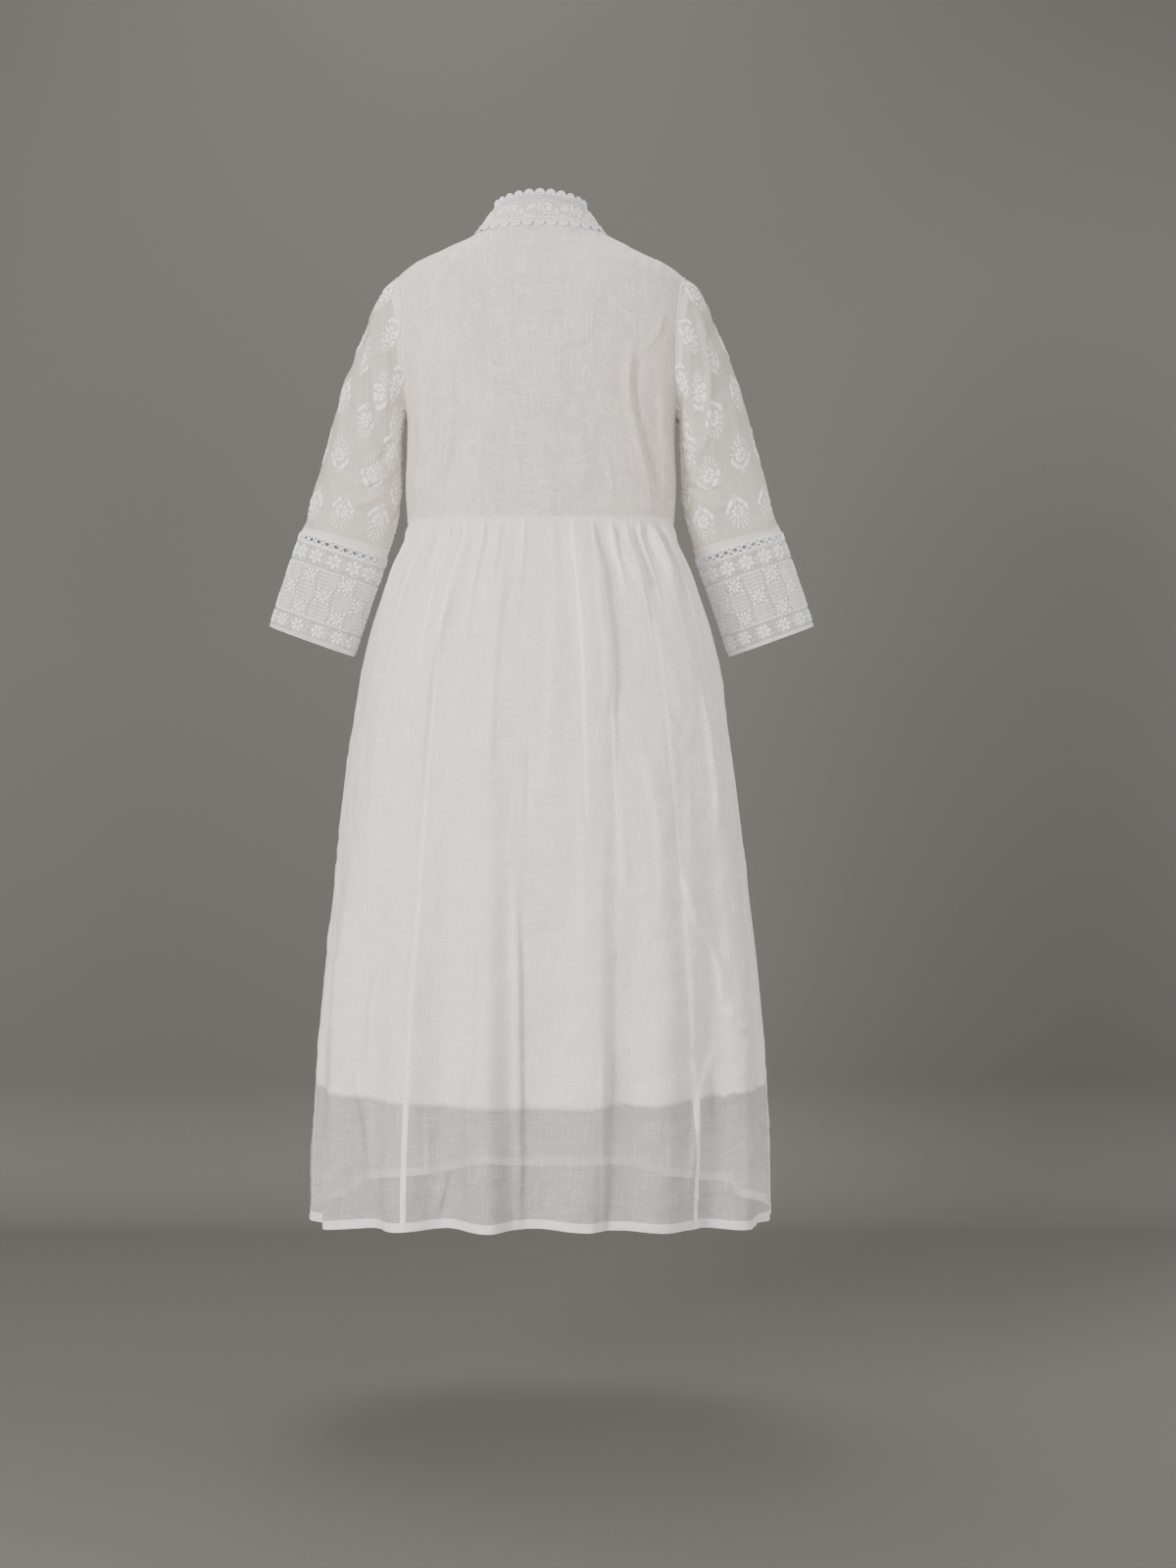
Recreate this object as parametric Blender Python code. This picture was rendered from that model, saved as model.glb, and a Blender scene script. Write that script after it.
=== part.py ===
"""Anarkali gown, worn and filled out, with nobody inside it.

Metres, +Z up. The gown's front faces -Y and the wearer's right is -X. The origin is the point between the
two ends of the shoulder seams at the neck, where the gown hangs on its wearer. Angles round the body are in
degrees from the centre back, growing towards the wearer's right.
"""

import math
from collections import namedtuple

import bpy
import numpy as np

WALL = 0.0015  # cloth with its turnings
LACE_WALL = 0.0011
SEAM_GAP = 0.0003
ROUNDNESS = 2.3  # exponent of the body's sections: 2 is an ellipse
LEFT, RIGHT = 1, -1  # the side of the wearer, as the sign of X

UNDERARM_Z = -0.230
WAIST_Z = -0.354
HEM_Z = -1.214  # at the sides
HEM_LIFT = 0.020  # the hem is this much higher at centre back and centre front
LINING_HEM_Z = -1.052
LINING_DROP = 0.004  # the lining starts this far below the waist seam
GATHER_DROP = 0.004  # so do the gathers
GATHER_LET_OUT = 0.030  # and they have their full depth this far below that

NECK_HALF = 0.0735  # half the neck's width, at the ends of the shoulder seams
NECK_RISE = 0.004  # the back neck above the origin
NECK_DROP = 0.066  # the front neck below the origin
COLLAR_TOP_HALF = 0.0580
COLLAR_TOP_BACK = 0.0460
COLLAR_TOP_FRONT = 0.0640
COLLAR_TOP_SIDE_Z = 0.0245
COLLAR_TOP_RISE = 0.0085  # the collar's top edge at centre back, above its sides
COLLAR_TOP_DROP = 0.0685  # and at centre front, below them
COLLAR_BULGE = 0.0012  # how far the collar band rounds outwards between its edges
EDGE_LACE_HEIGHT = 0.0105
NECK_LACE_DROP = 0.009
LACE_LIFT = 0.0018  # the neck lace off the bodice under it
SLIT_HALF_TOP = 0.0030
SLIT_HALF_BOTTOM = 0.0008
SLIT_ROWS = 5  # rows of the front bodice, from the neck down, that the slit opens

NECK_TURNS = (0, 22, 44, 62, 75, 84, 90)  # degrees round the neck, from the centre to the shoulder seam
SHOULDER_STEPS = 6  # and from there to the armhole
ARMHOLE_STEPS = 8  # rows from the underarm to the shoulder
SIDE_STEPS = 3  # rows from the waist to the underarm
SKIRT_COLUMNS, SKIRT_ROWS = 40, 12  # on each panel
LINING_COLUMNS, LINING_ROWS = 18, 5
SLEEVE_ROWS, CUFF_ROWS = 9, 3
ARMHOLE_GAP = 0.0005
SKIRT_ROW_POWER = 1.15  # over 1 sets the skirt's rows closer together near the waist
SLEEVE_ROW_POWER = 1.25  # and the sleeve's near the shoulder

# The body's sections: half its width, and how far it reaches behind and in front of the shoulder seams.
Section = namedtuple("Section", "z half_width back front")
TORSO = (
    Section(-0.354, 0.1630, 0.0960, 0.0990),
    Section(-0.310, 0.1655, 0.1000, 0.1110),
    Section(-0.270, 0.1640, 0.1045, 0.1210),
    Section(-0.230, 0.1650, 0.1080, 0.1210),
    Section(-0.190, 0.1725, 0.1090, 0.1140),
    Section(-0.150, 0.1815, 0.1070, 0.1030),
    Section(-0.110, 0.1870, 0.1000, 0.0910),
    Section(-0.080, 0.1855, 0.0930, 0.0810),
    Section(-0.057, 0.1745, 0.0865, 0.0735),
    Section(-0.039, 0.1500, 0.0795, 0.0680),
    Section(-0.027, 0.1215, 0.0745, 0.0640),
    Section(0.000, 0.0735, 0.0630, 0.0560),
    Section(0.012, 0.0640, 0.0575, 0.0540),
)
SKIRT = (
    Section(-1.215, 0.2850, 0.1760, 0.2000),
    Section(-1.115, 0.2830, 0.1720, 0.1930),
    Section(-1.030, 0.2780, 0.1680, 0.1860),
    Section(-0.920, 0.2690, 0.1640, 0.1780),
    Section(-0.810, 0.2560, 0.1600, 0.1690),
    Section(-0.730, 0.2465, 0.1560, 0.1610),
    Section(-0.660, 0.2375, 0.1510, 0.1530),
    Section(-0.605, 0.2295, 0.1470, 0.1450),
    Section(-0.535, 0.2200, 0.1400, 0.1350),
    Section(-0.485, 0.2080, 0.1320, 0.1260),
    Section(-0.415, 0.1825, 0.1160, 0.1130),
    Section(-0.375, 0.1640, 0.1010, 0.1030),
    Section(-0.354, 0.1630, 0.0960, 0.0990),
)

# How far inside the skirt the lining hangs, clear of the skirt's troughs.
Inset = namedtuple("Inset", "z inset")
LINING = (
    Inset(-1.052, 0.0360),
    Inset(-0.900, 0.0320),
    Inset(-0.700, 0.0240),
    Inset(-0.500, 0.0120),
    Inset(-0.400, 0.0075),
    Inset(-0.354, 0.0060),
)

# The armhole's seam on the panel, from the underarm to the shoulder's end.
Armhole = namedtuple("Armhole", "z half_width")
ARMHOLE = (
    Armhole(-0.230, 0.1650),
    Armhole(-0.200, 0.1640),
    Armhole(-0.150, 0.1630),
    Armhole(-0.110, 0.1645),
    Armhole(-0.080, 0.1685),
    Armhole(-0.057, 0.1745),
)

# Folds that open towards the hem, for the whole turn: where each starts at the waist and ends at the hem, how
# far it spreads to each side, how far it stands out (or in) at the hem, and the height where it starts.
HemFold = namedtuple("HemFold", "waist hem left right depth start")
HEM_FOLDS = (
    HemFold(18, 9, 10, 5, 0.017, -0.42),
    HemFold(35, 27, 10, 10, 0.018, -0.52),
    HemFold(56, 43, 8, 9, -0.015, -0.60),
    HemFold(68, 56, 9, 9, 0.012, -0.62),
    HemFold(80, 73, 9, 8, -0.008, -0.70),
    HemFold(100, 101, 8, 8, 0.005, -0.62),
    HemFold(112, 114, 8, 9, -0.013, -0.66),
    HemFold(126, 130, 10, 9, 0.019, -0.50),
    HemFold(143, 147, 9, 9, -0.014, -0.58),
    HemFold(158, 163, 10, 9, 0.020, -0.46),
    HemFold(178, 179, 9, 8, -0.010, -0.64),
    HemFold(-163, -166, 8, 10, 0.017, -0.50),
    HemFold(-146, -149, 9, 9, -0.015, -0.60),
    HemFold(-128, -132, 10, 10, 0.018, -0.48),
    HemFold(-112, -115, 8, 8, -0.011, -0.68),
    HemFold(-100, -101, 8, 8, 0.005, -0.62),
    HemFold(-79, -73, 8, 9, -0.009, -0.66),
    HemFold(-66, -58, 9, 9, 0.014, -0.58),
    HemFold(-50, -43, 9, 8, -0.013, -0.62),
    HemFold(-36, -32, 8, 8, 0.013, -0.54),
    HemFold(-24, -20, 8, 7, -0.015, -0.60),
    HemFold(-12, -9, 8, 5, 0.022, -0.50),
    HemFold(-2, -1, 5, 7, -0.010, -0.66),
)

# Gathers let out of the waist seam: where each is, how far it spreads and stands out, and where it ends.
Gather = namedtuple("Gather", "angle spread depth end")
GATHERS = (
    Gather(15, 8, 0.0050, -0.66),
    Gather(34, 8, 0.0040, -0.56),
    Gather(52, 8, 0.0050, -0.52),
    Gather(69, 8, 0.0040, -0.50),
    Gather(108, 9, 0.0045, -0.54),
    Gather(128, 9, 0.0045, -0.60),
    Gather(149, 9, 0.0050, -0.62),
    Gather(171, 9, 0.0040, -0.58),
    Gather(-168, 9, 0.0040, -0.60),
    Gather(-147, 9, 0.0050, -0.58),
    Gather(-126, 9, 0.0040, -0.62),
    Gather(-107, 9, 0.0045, -0.52),
    Gather(-70, 8, 0.0040, -0.50),
    Gather(-50, 8, 0.0045, -0.56),
    Gather(-31, 8, 0.0045, -0.58),
    Gather(-12, 8, 0.0040, -0.60),
)

# The sleeve, ring by ring: how far it is along the sleeve, its outer and inner edge, half its depth, how far
# forward the arm carries it, and how much of the armhole's own shape the ring still has.
Ring = namedtuple("Ring", "along outer_x outer_z inner_x inner_z depth forward armhole")
SLEEVE = (
    Ring(0.0000, 0.1745, -0.0570, 0.1650, -0.2300, 0.0550, 0.0000, 1.00),
    Ring(0.0113, 0.1875, -0.0665, 0.1690, -0.2345, 0.0570, 0.0010, 0.75),
    Ring(0.0287, 0.2030, -0.0905, 0.1700, -0.2420, 0.0585, 0.0020, 0.40),
    Ring(0.0507, 0.2160, -0.1220, 0.1705, -0.2530, 0.0580, 0.0040, 0.15),
    Ring(0.0912, 0.2380, -0.1770, 0.1705, -0.2760, 0.0560, 0.0080, 0.00),
    Ring(0.1348, 0.2560, -0.2320, 0.1715, -0.3060, 0.0530, 0.0120, 0.00),
    Ring(0.1836, 0.2730, -0.2930, 0.1765, -0.3400, 0.0490, 0.0170, 0.00),
    Ring(0.2309, 0.2905, -0.3500, 0.1850, -0.3740, 0.0450, 0.0220, 0.00),
    Ring(0.2518, 0.2975, -0.3655, 0.1915, -0.3980, 0.0425, 0.0250, 0.00),
    Ring(0.3145, 0.3190, -0.4230, 0.2130, -0.4585, 0.0395, 0.0320, 0.00),
    Ring(0.3773, 0.3390, -0.4810, 0.2340, -0.5190, 0.0370, 0.0400, 0.00),
)
LACE_FROM = 0.2518  # along the sleeve
LACE_TO = 0.2623

# Each cloth's colour, roughness and sheen.
Finish = namedtuple("Finish", "colour roughness sheen")
FINISHES = {
    "skirt_voile": Finish((0.70, 0.69, 0.66), 0.80, 0.3),
    "bodice_voile": Finish((0.68, 0.66, 0.64), 0.80, 0.3),
    "sleeve_organza": Finish((0.74, 0.73, 0.71), 0.60, 0.4),
    "lining_voile": Finish((0.66, 0.65, 0.62), 0.85, 0.2),
    "cuff_lace": Finish((0.76, 0.76, 0.76), 0.85, 0.2),
    "collar_embroidery": Finish((0.72, 0.72, 0.71), 0.80, 0.3),
    "crochet_lace": Finish((0.80, 0.81, 0.86), 0.90, 0.1),
}


def clear_scene():
    for thing in list(bpy.data.objects):
        bpy.data.objects.remove(thing, do_unlink=True)


def column(rows, name):
    return np.array([getattr(row, name) for row in rows])


def eased(rows, key, name, at):
    """Column `name` of a table at `at`, on a smooth curve through its rows, which rise in column `key`."""
    places = column(rows, key)
    values = column(rows, name)
    slopes = np.gradient(values, places)
    at = np.clip(at, places[0], places[-1])
    low = np.clip(np.searchsorted(places, at) - 1, 0, len(places) - 2)
    step = places[low + 1] - places[low]
    t = (at - places[low]) / step
    start = (1 + 2 * t) * (1 - t) ** 2 * values[low] + t * (1 - t) ** 2 * step * slopes[low]
    end = t * t * (3 - 2 * t) * values[low + 1] + t * t * (t - 1) * step * slopes[low + 1]
    return start + end


def smooth_step(t):
    t = np.clip(t, 0.0, 1.0)
    return t * t * (3 - 2 * t)


def hump(distance, left, right):
    """1 at the middle of a fold, falling smoothly to 0 at its two spreads."""
    share = np.where(distance < 0, -distance / left, distance / right)
    return np.where(share < 1, 0.5 * (1 + np.cos(np.pi * np.minimum(share, 1))), 0.0)


def turned(angle):
    """The same angle between -180 and 180."""
    return (angle + 180) % 360 - 180


def flattened(share):
    """The power that makes a circle's sine or cosine that of the body's squarer section."""
    return np.sign(share) * np.abs(share) ** (2 / ROUNDNESS)


def torso_depth(x, z, name):
    """How far the body reaches along Y at x and height z, on the side called name: back or front."""
    half = eased(TORSO, "z", "half_width", z)
    rest = 1 - np.minimum(np.abs(x) / half, 1) ** ROUNDNESS
    return eased(TORSO, "z", name, z) * rest ** (1 / ROUNDNESS)


def neck_z(x, name):
    """The height of the neck seam at x, which is within NECK_HALF of the centre."""
    share = 1 - np.minimum(np.abs(x) / NECK_HALF, 1) ** 2
    return NECK_RISE * share if name == "back" else -NECK_DROP * share**0.75


def shoulder_z(x):
    """The height of the shoulder seam at x, where the body's outline is x wide."""
    heights = np.linspace(ARMHOLE[-1].z, 0.0, 60)
    widths = eased(TORSO, "z", "half_width", heights)
    return np.interp(-np.abs(x), -widths, heights)


def bodice_columns(slit):
    """Where the panel's columns are, as shares of the half width at the shoulder."""
    neck = NECK_HALF / ARMHOLE[-1].half_width
    inner = neck * np.sin(np.radians(NECK_TURNS))
    first = math.asin(neck ** (ROUNDNESS / 2))
    outer = flattened(np.sin(np.linspace(first, math.pi / 2, SHOULDER_STEPS + 1)))
    half = np.concatenate([inner, outer[1:]])
    return np.concatenate([-half[:0:-1], [0.0, 0.0] if slit else [0.0], half[1:]])


def upper_column(share, top_z, name):
    """One column of a bodice panel, from the underarm's height to its top, with its rows along the cloth."""
    rise = 1 - (1 - np.linspace(0, 1, 400)) ** 3
    z = UNDERARM_Z + rise * (top_z - UNDERARM_Z)
    edge_z = UNDERARM_Z + rise * (ARMHOLE[-1].z - UNDERARM_Z)
    x = share * eased(ARMHOLE, "z", "half_width", edge_z)
    y = torso_depth(x, z, name)
    y[-1] *= abs(x[-1]) < NECK_HALF - 1e-6  # a shoulder seam lies at y = 0
    if abs(share) > 1 - 1e-6:
        y[0] = 0
    run = np.concatenate([[0], np.cumsum(np.sqrt(np.diff(x) ** 2 + np.diff(y) ** 2 + np.diff(z) ** 2))])
    last = 1 - NECK_LACE_DROP / run[-1]
    at = run[-1] * np.append(last * np.linspace(0, 1, ARMHOLE_STEPS), 1)
    return np.stack([np.interp(at, run, values) for values in (x, y, z)], 1)


def bodice_points(name):
    """The panel's outside, one row of points from side to side for each height, from the waist up."""
    shares = bodice_columns(slit=name == "front")
    sign = 1 if name == "back" else -1
    top_x = shares * ARMHOLE[-1].half_width
    in_neck = np.abs(top_x) <= NECK_HALF + 1e-6
    top_z = np.where(in_neck, neck_z(top_x, name), shoulder_z(top_x))
    lower = []
    for z in np.linspace(WAIST_Z, UNDERARM_Z, SIDE_STEPS + 1)[:-1]:
        x = shares * eased(TORSO, "z", "half_width", z)
        lower.append(np.stack([x, torso_depth(x, z, name), np.full(len(shares), z)], 1))
    upper = [upper_column(share, z, name) for share, z in zip(shares, top_z)]
    grid = np.concatenate([np.array(lower), np.array(upper).swapaxes(0, 1)])
    grid[..., 1] = sign * np.maximum(grid[..., 1], SEAM_GAP / 2)
    if name == "front":
        middle = len(shares) // 2
        fall = np.clip(np.arange(len(grid))[::-1] / SLIT_ROWS, 0, 1)
        gap = SLIT_HALF_TOP + fall * (SLIT_HALF_BOTTOM - SLIT_HALF_TOP)
        grid[:, middle - 1, 0] = -gap
        grid[:, middle, 0] = gap
    return grid


def unit(vectors):
    return vectors / np.linalg.norm(vectors, axis=-1, keepdims=True)


def grid_normals(points, around=False):
    """The way out of a grid of points, away from the axis that it goes round."""
    down = np.gradient(points, axis=0)
    if around:
        across = np.roll(points, -1, axis=1) - np.roll(points, 1, axis=1)
    else:
        across = np.gradient(points, axis=1)
    return unit(np.cross(across, down))


def facing(normals, points, centre):
    """The normals, turned so that they point away from the centre."""
    away = np.sum(normals * (points - centre), axis=-1, keepdims=True)
    return np.where(away < 0, -normals, normals)


def armhole_inward(points):
    """The way from points on the armhole's seam to its middle, along the seam's own plane."""
    middle = np.array([0.0, 0.0, 0.5 * (UNDERARM_Z + ARMHOLE[-1].z)])
    return unit((middle - points) * (0, 1, 1))


def bodice_inside(points):
    """The inside of a bodice panel. Along each seam the wall's edge lies in the seam's plane."""
    normals = facing(grid_normals(points), points, np.array([0.0, 0.0, -0.25]))
    inward = -normals
    side = np.array([1.0, 0.0, 0.0])
    for edge, sign in ((0, 1), (-1, -1)):
        inward[: SIDE_STEPS + 1, edge] = sign * side
        inward[SIDE_STEPS + 1 :, edge] = armhole_inward(points[SIDE_STEPS + 1 :, edge])
    inward[0, :, 2] = 0
    shoulder = np.abs(points[-1, :, 0]) > NECK_HALF - 1e-4
    inward[-1, shoulder, 1] = 0
    inward[-1, 0] = inward[-1, -1] = (0, 0, -1)
    return points + WALL * unit(inward)


def wall(name, outer, inner, finish, around=False, left_out=()):
    """One closed body between two grids of points, less the cells in left_out."""
    rows, columns = outer.shape[:2]
    last = columns if around else columns - 1
    cells = [(r, c) for r in range(rows - 1) for c in range(last) if (r, c) not in left_out]
    filled = set(cells)

    def at(r, c, inside):
        return inside * rows * columns + r * columns + c % columns

    faces = []
    for r, c in cells:
        ring = [(r, c), (r, c + 1), (r + 1, c + 1), (r + 1, c)]
        out = [at(*place, False) for place in ring]
        back = [at(*place, True) for place in ring]
        faces += [(out[0], out[1], out[2]), (out[0], out[2], out[3])]
        faces += [(back[2], back[1], back[0]), (back[3], back[2], back[0])]
        beyond = [(r - 1, c), (r, c + 1), (r + 1, c), (r, c - 1)]
        for side, (br, bc) in enumerate(beyond):
            if around:
                bc %= columns
            if (br, bc) not in filled:
                a, b = side, (side + 1) % 4
                faces += [(out[b], out[a], back[a]), (out[b], back[a], back[b])]
    points = np.concatenate([outer.reshape(-1, 3), inner.reshape(-1, 3)])
    corners = points[np.array(faces)]
    volume = np.einsum("ij,ij->i", corners[:, 0], np.cross(corners[:, 1], corners[:, 2])).sum()
    if volume < 0:
        faces = [face[::-1] for face in faces]
    mesh = bpy.data.meshes.new(name)
    mesh.from_pydata([tuple(point) for point in points], [], faces)
    mesh.update()
    mesh.shade_smooth()
    mesh.set_sharp_from_angle(angle=math.radians(40))
    thing = bpy.data.objects.new(name, mesh)
    bpy.context.scene.collection.objects.link(thing)
    thing.data.materials.append(cloth(finish))
    return thing


def cloth(finish):
    material = bpy.data.materials.get(finish)
    if material:
        return material
    material = bpy.data.materials.new(finish)
    material.use_nodes = True
    shader = material.node_tree.nodes["Principled BSDF"]
    look = FINISHES[finish]
    shader.inputs["Base Color"].default_value = (*look.colour, 1)
    shader.inputs["Roughness"].default_value = look.roughness
    shader.inputs["Sheen Weight"].default_value = look.sheen
    shader.inputs["Metallic"].default_value = 0
    return material


def add_bodice(name):
    points = bodice_points(name)
    rows, columns = points.shape[:2]
    slit = set()
    if name == "front":
        slit = {(rows - 2 - down, columns // 2 - 1) for down in range(SLIT_ROWS)}
    wall(f"{name}_bodice", points, bodice_inside(points), "bodice_voile", left_out=slit)
    return points


def skirt_ease(angle, z):
    """How far the skirt's folds and gathers stand off its plain section."""
    total = np.zeros(np.broadcast(angle, z).shape)
    for fold in HEM_FOLDS:
        fallen = np.clip((WAIST_Z - z) / (WAIST_Z - HEM_Z), 0, 1)
        middle = fold.waist + (fold.hem - fold.waist) * fallen
        open_share = smooth_step((fold.start - z) / (fold.start - HEM_Z))
        total += fold.depth * open_share * hump(turned(angle - middle), fold.left, fold.right)
    for gather in GATHERS:
        let_out = smooth_step((WAIST_Z - GATHER_DROP - z) / GATHER_LET_OUT)
        full_z = WAIST_Z - GATHER_LET_OUT
        fade = 1 - smooth_step((full_z - z) / (full_z - gather.end))
        near = hump(turned(angle - gather.angle), gather.spread, gather.spread)
        total += gather.depth * let_out * fade * near
    return total


def round_section(angle, z, table, ease):
    """The point at this angle and height on a section that stands ease outside its table's size."""
    turn = np.radians(angle)
    behind = np.cos(turn) >= 0
    depth = np.where(behind, eased(table, "z", "back", z), eased(table, "z", "front", z))
    half = eased(table, "z", "half_width", z)
    across = -flattened(np.sin(turn))
    along = flattened(np.cos(turn))
    out_x = np.sign(across) * np.abs(across) ** (ROUNDNESS - 1) / half
    out_y = np.sign(along) * np.abs(along) ** (ROUNDNESS - 1) / depth
    length = np.hypot(out_x, out_y)
    x = across * half + ease * out_x / length
    y = along * depth + ease * out_y / length
    return np.stack([x, y, z + 0 * turn], -1)


def panel_angles(name, columns):
    start = -90 if name == "back" else 90
    return np.linspace(start, start + 180, columns + 1)


def hem_z(angle):
    return HEM_Z + HEM_LIFT * np.cos(np.radians(angle)) ** 2


def hung_panel(label, name, points, finish):
    """A skirt or lining panel from its outside, with its two seams at the sides of the body."""
    sign = 1 if name == "back" else -1
    points[:, (0, -1), 1] = sign * SEAM_GAP / 2
    inward = -facing(grid_normals(points), points, np.array([0.0, 0.0, 1.0]) * points[..., 2:])
    inward[:, 0] = (-np.sign(points[0, 0, 0]), 0, 0)
    inward[:, -1] = (-np.sign(points[0, -1, 0]), 0, 0)
    inward[(0, -1), :, 2] = 0
    wall(label, points, points + WALL * unit(inward), finish)


def add_skirt(name):
    falls = np.linspace(0, 1, SKIRT_ROWS + 1) ** SKIRT_ROW_POWER
    angle, fall = np.meshgrid(panel_angles(name, SKIRT_COLUMNS), falls)
    top = WAIST_Z - SEAM_GAP
    z = top + fall * (hem_z(angle) - top)
    points = round_section(angle, z, SKIRT, skirt_ease(angle, z))
    hung_panel(f"{name}_skirt", name, points, "skirt_voile")


def add_lining(name):
    angle, fall = np.meshgrid(panel_angles(name, LINING_COLUMNS), np.linspace(0, 1, LINING_ROWS + 1))
    top = WAIST_Z - LINING_DROP
    z = top + fall * (LINING_HEM_Z - top)
    points = round_section(angle, z, SKIRT, -eased(LINING, "z", "inset", z))
    hung_panel(f"{name}_lining", name, points, "lining_voile")


def armhole_points(side):
    """Points round the armhole's seam, from the shoulder down the back to the underarm and up the front."""
    back = upper_column(1.0, ARMHOLE[-1].z, "back")[::-1]
    front = upper_column(1.0, ARMHOLE[-1].z, "front")
    return np.concatenate([back, (front * (1, -1, 1))[1:-1]]) * (side, 1, 1) + (side * ARMHOLE_GAP, 0, 0)


def sleeve_points(places, side):
    """The sleeve's outside: a ring of points for each place along it."""
    seam = armhole_points(side)
    underarm = seam[ARMHOLE_STEPS]
    fallen = (seam[0, 2] - seam[:, 2]) / (seam[0, 2] - underarm[2])
    own_shape = seam - (seam[0] + fallen[:, None] * (underarm - seam[0]))
    own_turn = np.arccos(1 - 2 * fallen)
    own_turn[ARMHOLE_STEPS + 1 :] = 2 * math.pi - own_turn[ARMHOLE_STEPS + 1 :]
    even_turn = np.linspace(0, 2 * math.pi, len(seam) + 1)[:-1]
    rings = []
    for place in places:
        at = {name: eased(SLEEVE, "along", name, place) for name in Ring._fields}
        outer = np.array([side * (at["outer_x"] + ARMHOLE_GAP), 0, at["outer_z"]])
        inner = np.array([side * (at["inner_x"] + ARMHOLE_GAP), 0, at["inner_z"]])
        turn = even_turn + at["armhole"] * (own_turn - even_turn)
        share = 0.5 * (1 - np.cos(turn))[:, None]
        ring = outer + share * (inner - outer) + at["armhole"] * own_shape
        ring[:, 1] += (1 - at["armhole"]) * at["depth"] * np.sin(turn) - at["forward"]
        rings.append(ring)
    return np.array(rings)


def add_tube(label, places, side, finish, thickness, seam_first=False):
    points = sleeve_points(places, side)
    centres = points.mean(axis=1, keepdims=True)
    inward = -facing(grid_normals(points, around=True), points, centres)
    if seam_first:
        inward[0] = armhole_inward(points[0])
    wall(label, points, points + thickness * inward, finish, around=True)


def add_sleeve(label, side):
    share = np.linspace(0, 1, SLEEVE_ROWS + 1)
    places = LACE_FROM * share**SLEEVE_ROW_POWER
    add_tube(f"{label}_sleeve", places, side, "sleeve_organza", WALL, seam_first=True)
    lace = np.array([LACE_FROM + SEAM_GAP, LACE_TO - SEAM_GAP])
    add_tube(f"{label}_sleeve_lace", lace, side, "crochet_lace", LACE_WALL)
    end = SLEEVE[-1].along
    add_tube(f"{label}_cuff", np.linspace(LACE_TO, end, CUFF_ROWS + 1), side, "cuff_lace", WALL)


def neck_loop(back, front):
    """The neck seam from one side of the front slit, round the back of the neck, to the other side."""
    behind = back[np.abs(back[:, 0]) < NECK_HALF + 1e-4]
    before = front[np.abs(front[:, 0]) < NECK_HALF + 1e-4]
    behind[(0, -1), 1] = 0  # on the shoulder seams, between the two panels
    half = len(before) // 2
    return np.concatenate([before[half - 1 : 0 : -1], behind, before[-2 : half - 1 : -1]])


def collar_top(base):
    """The collar's top edge above each point of its base."""
    across = np.clip(base[:, 0] / NECK_HALF, -1, 1)
    along = np.sqrt(1 - across**2)
    behind = base[:, 1] >= 0
    y = np.where(behind, COLLAR_TOP_BACK * along, -COLLAR_TOP_FRONT * along)
    z = COLLAR_TOP_SIDE_Z + np.where(behind, COLLAR_TOP_RISE * along**2, -COLLAR_TOP_DROP * along**1.5)
    x = across * COLLAR_TOP_HALF
    slit = np.abs(base[:, 0]) < SLIT_HALF_TOP + 1e-6
    return np.stack([np.where(slit, base[:, 0], x), y, z], 1)


def level_inward(loop):
    """The level way in from each point of a loop round the neck, square to the loop."""
    along = np.gradient(loop, axis=0)
    along[(0, -1), :] = (1, 0, 0)
    across = np.stack([-along[:, 1], along[:, 0], 0 * along[:, 0]], 1)
    return -unit(facing(across, loop, np.array([0, -0.01, 0])) * (1, 1, 0))


def add_collar(base):
    bottom = base + (0, 0, 2 * SEAM_GAP)
    top = collar_top(base)
    middle = 0.5 * (bottom + top) - COLLAR_BULGE * level_inward(base)
    rows = np.array([bottom, middle, top])
    inner = rows + WALL * level_inward(base)
    wall("collar_band", rows, inner, "collar_embroidery")
    rise = unit(top - bottom)
    foot = top + 2 * SEAM_GAP * rise
    rows = np.array([foot, foot + EDGE_LACE_HEIGHT * rise * (0.5, 0.5, 1)])
    wall("collar_edge_lace", rows, rows + LACE_WALL * level_inward(base), "crochet_lace")


def torso_level(points):
    """1 on the torso's surface, less inside it and more outside it."""
    half = eased(TORSO, "z", "half_width", points[:, 2])
    back, front = (eased(TORSO, "z", name, points[:, 2]) for name in ("back", "front"))
    depth = np.where(points[:, 1] >= 0, back, front)
    return np.abs(points[:, 0] / half) ** ROUNDNESS + np.abs(points[:, 1] / depth) ** ROUNDNESS


def torso_slope(points):
    half_step = 0.0005
    slopes = []
    for axis in np.eye(3):
        change = torso_level(points + half_step * axis) - torso_level(points - half_step * axis)
        slopes.append(change / (2 * half_step))
    return np.stack(slopes, 1)


def onto_torso(points):
    """The points, moved square to the torso until they lie on it."""
    for _ in range(6):
        slope = torso_slope(points)
        miss = torso_level(points) - 1
        points = points - (miss / np.sum(slope**2, axis=1))[:, None] * slope
    return points


def add_neck_lace(base):
    """The lace that hangs from the neck seam over the bodice."""
    down = unit(np.cross(torso_slope(base), np.gradient(base, axis=0)))
    rows = np.array([base, onto_torso(base + NECK_LACE_DROP * down)])
    outward = np.array([unit(torso_slope(row)) for row in rows])
    lifted = rows + LACE_LIFT * outward
    wall("neck_seam_lace", lifted + LACE_WALL * outward, lifted, "crochet_lace")


def main():
    clear_scene()
    back = add_bodice("back")
    front = add_bodice("front")
    for name in ("back", "front"):
        add_skirt(name)
        add_lining(name)
    for label, side in (("right", RIGHT), ("left", LEFT)):
        add_sleeve(label, side)
    neck_seam = neck_loop(back[-1], front[-1])
    add_collar(neck_seam)
    add_neck_lace(neck_seam)


main()
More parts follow.
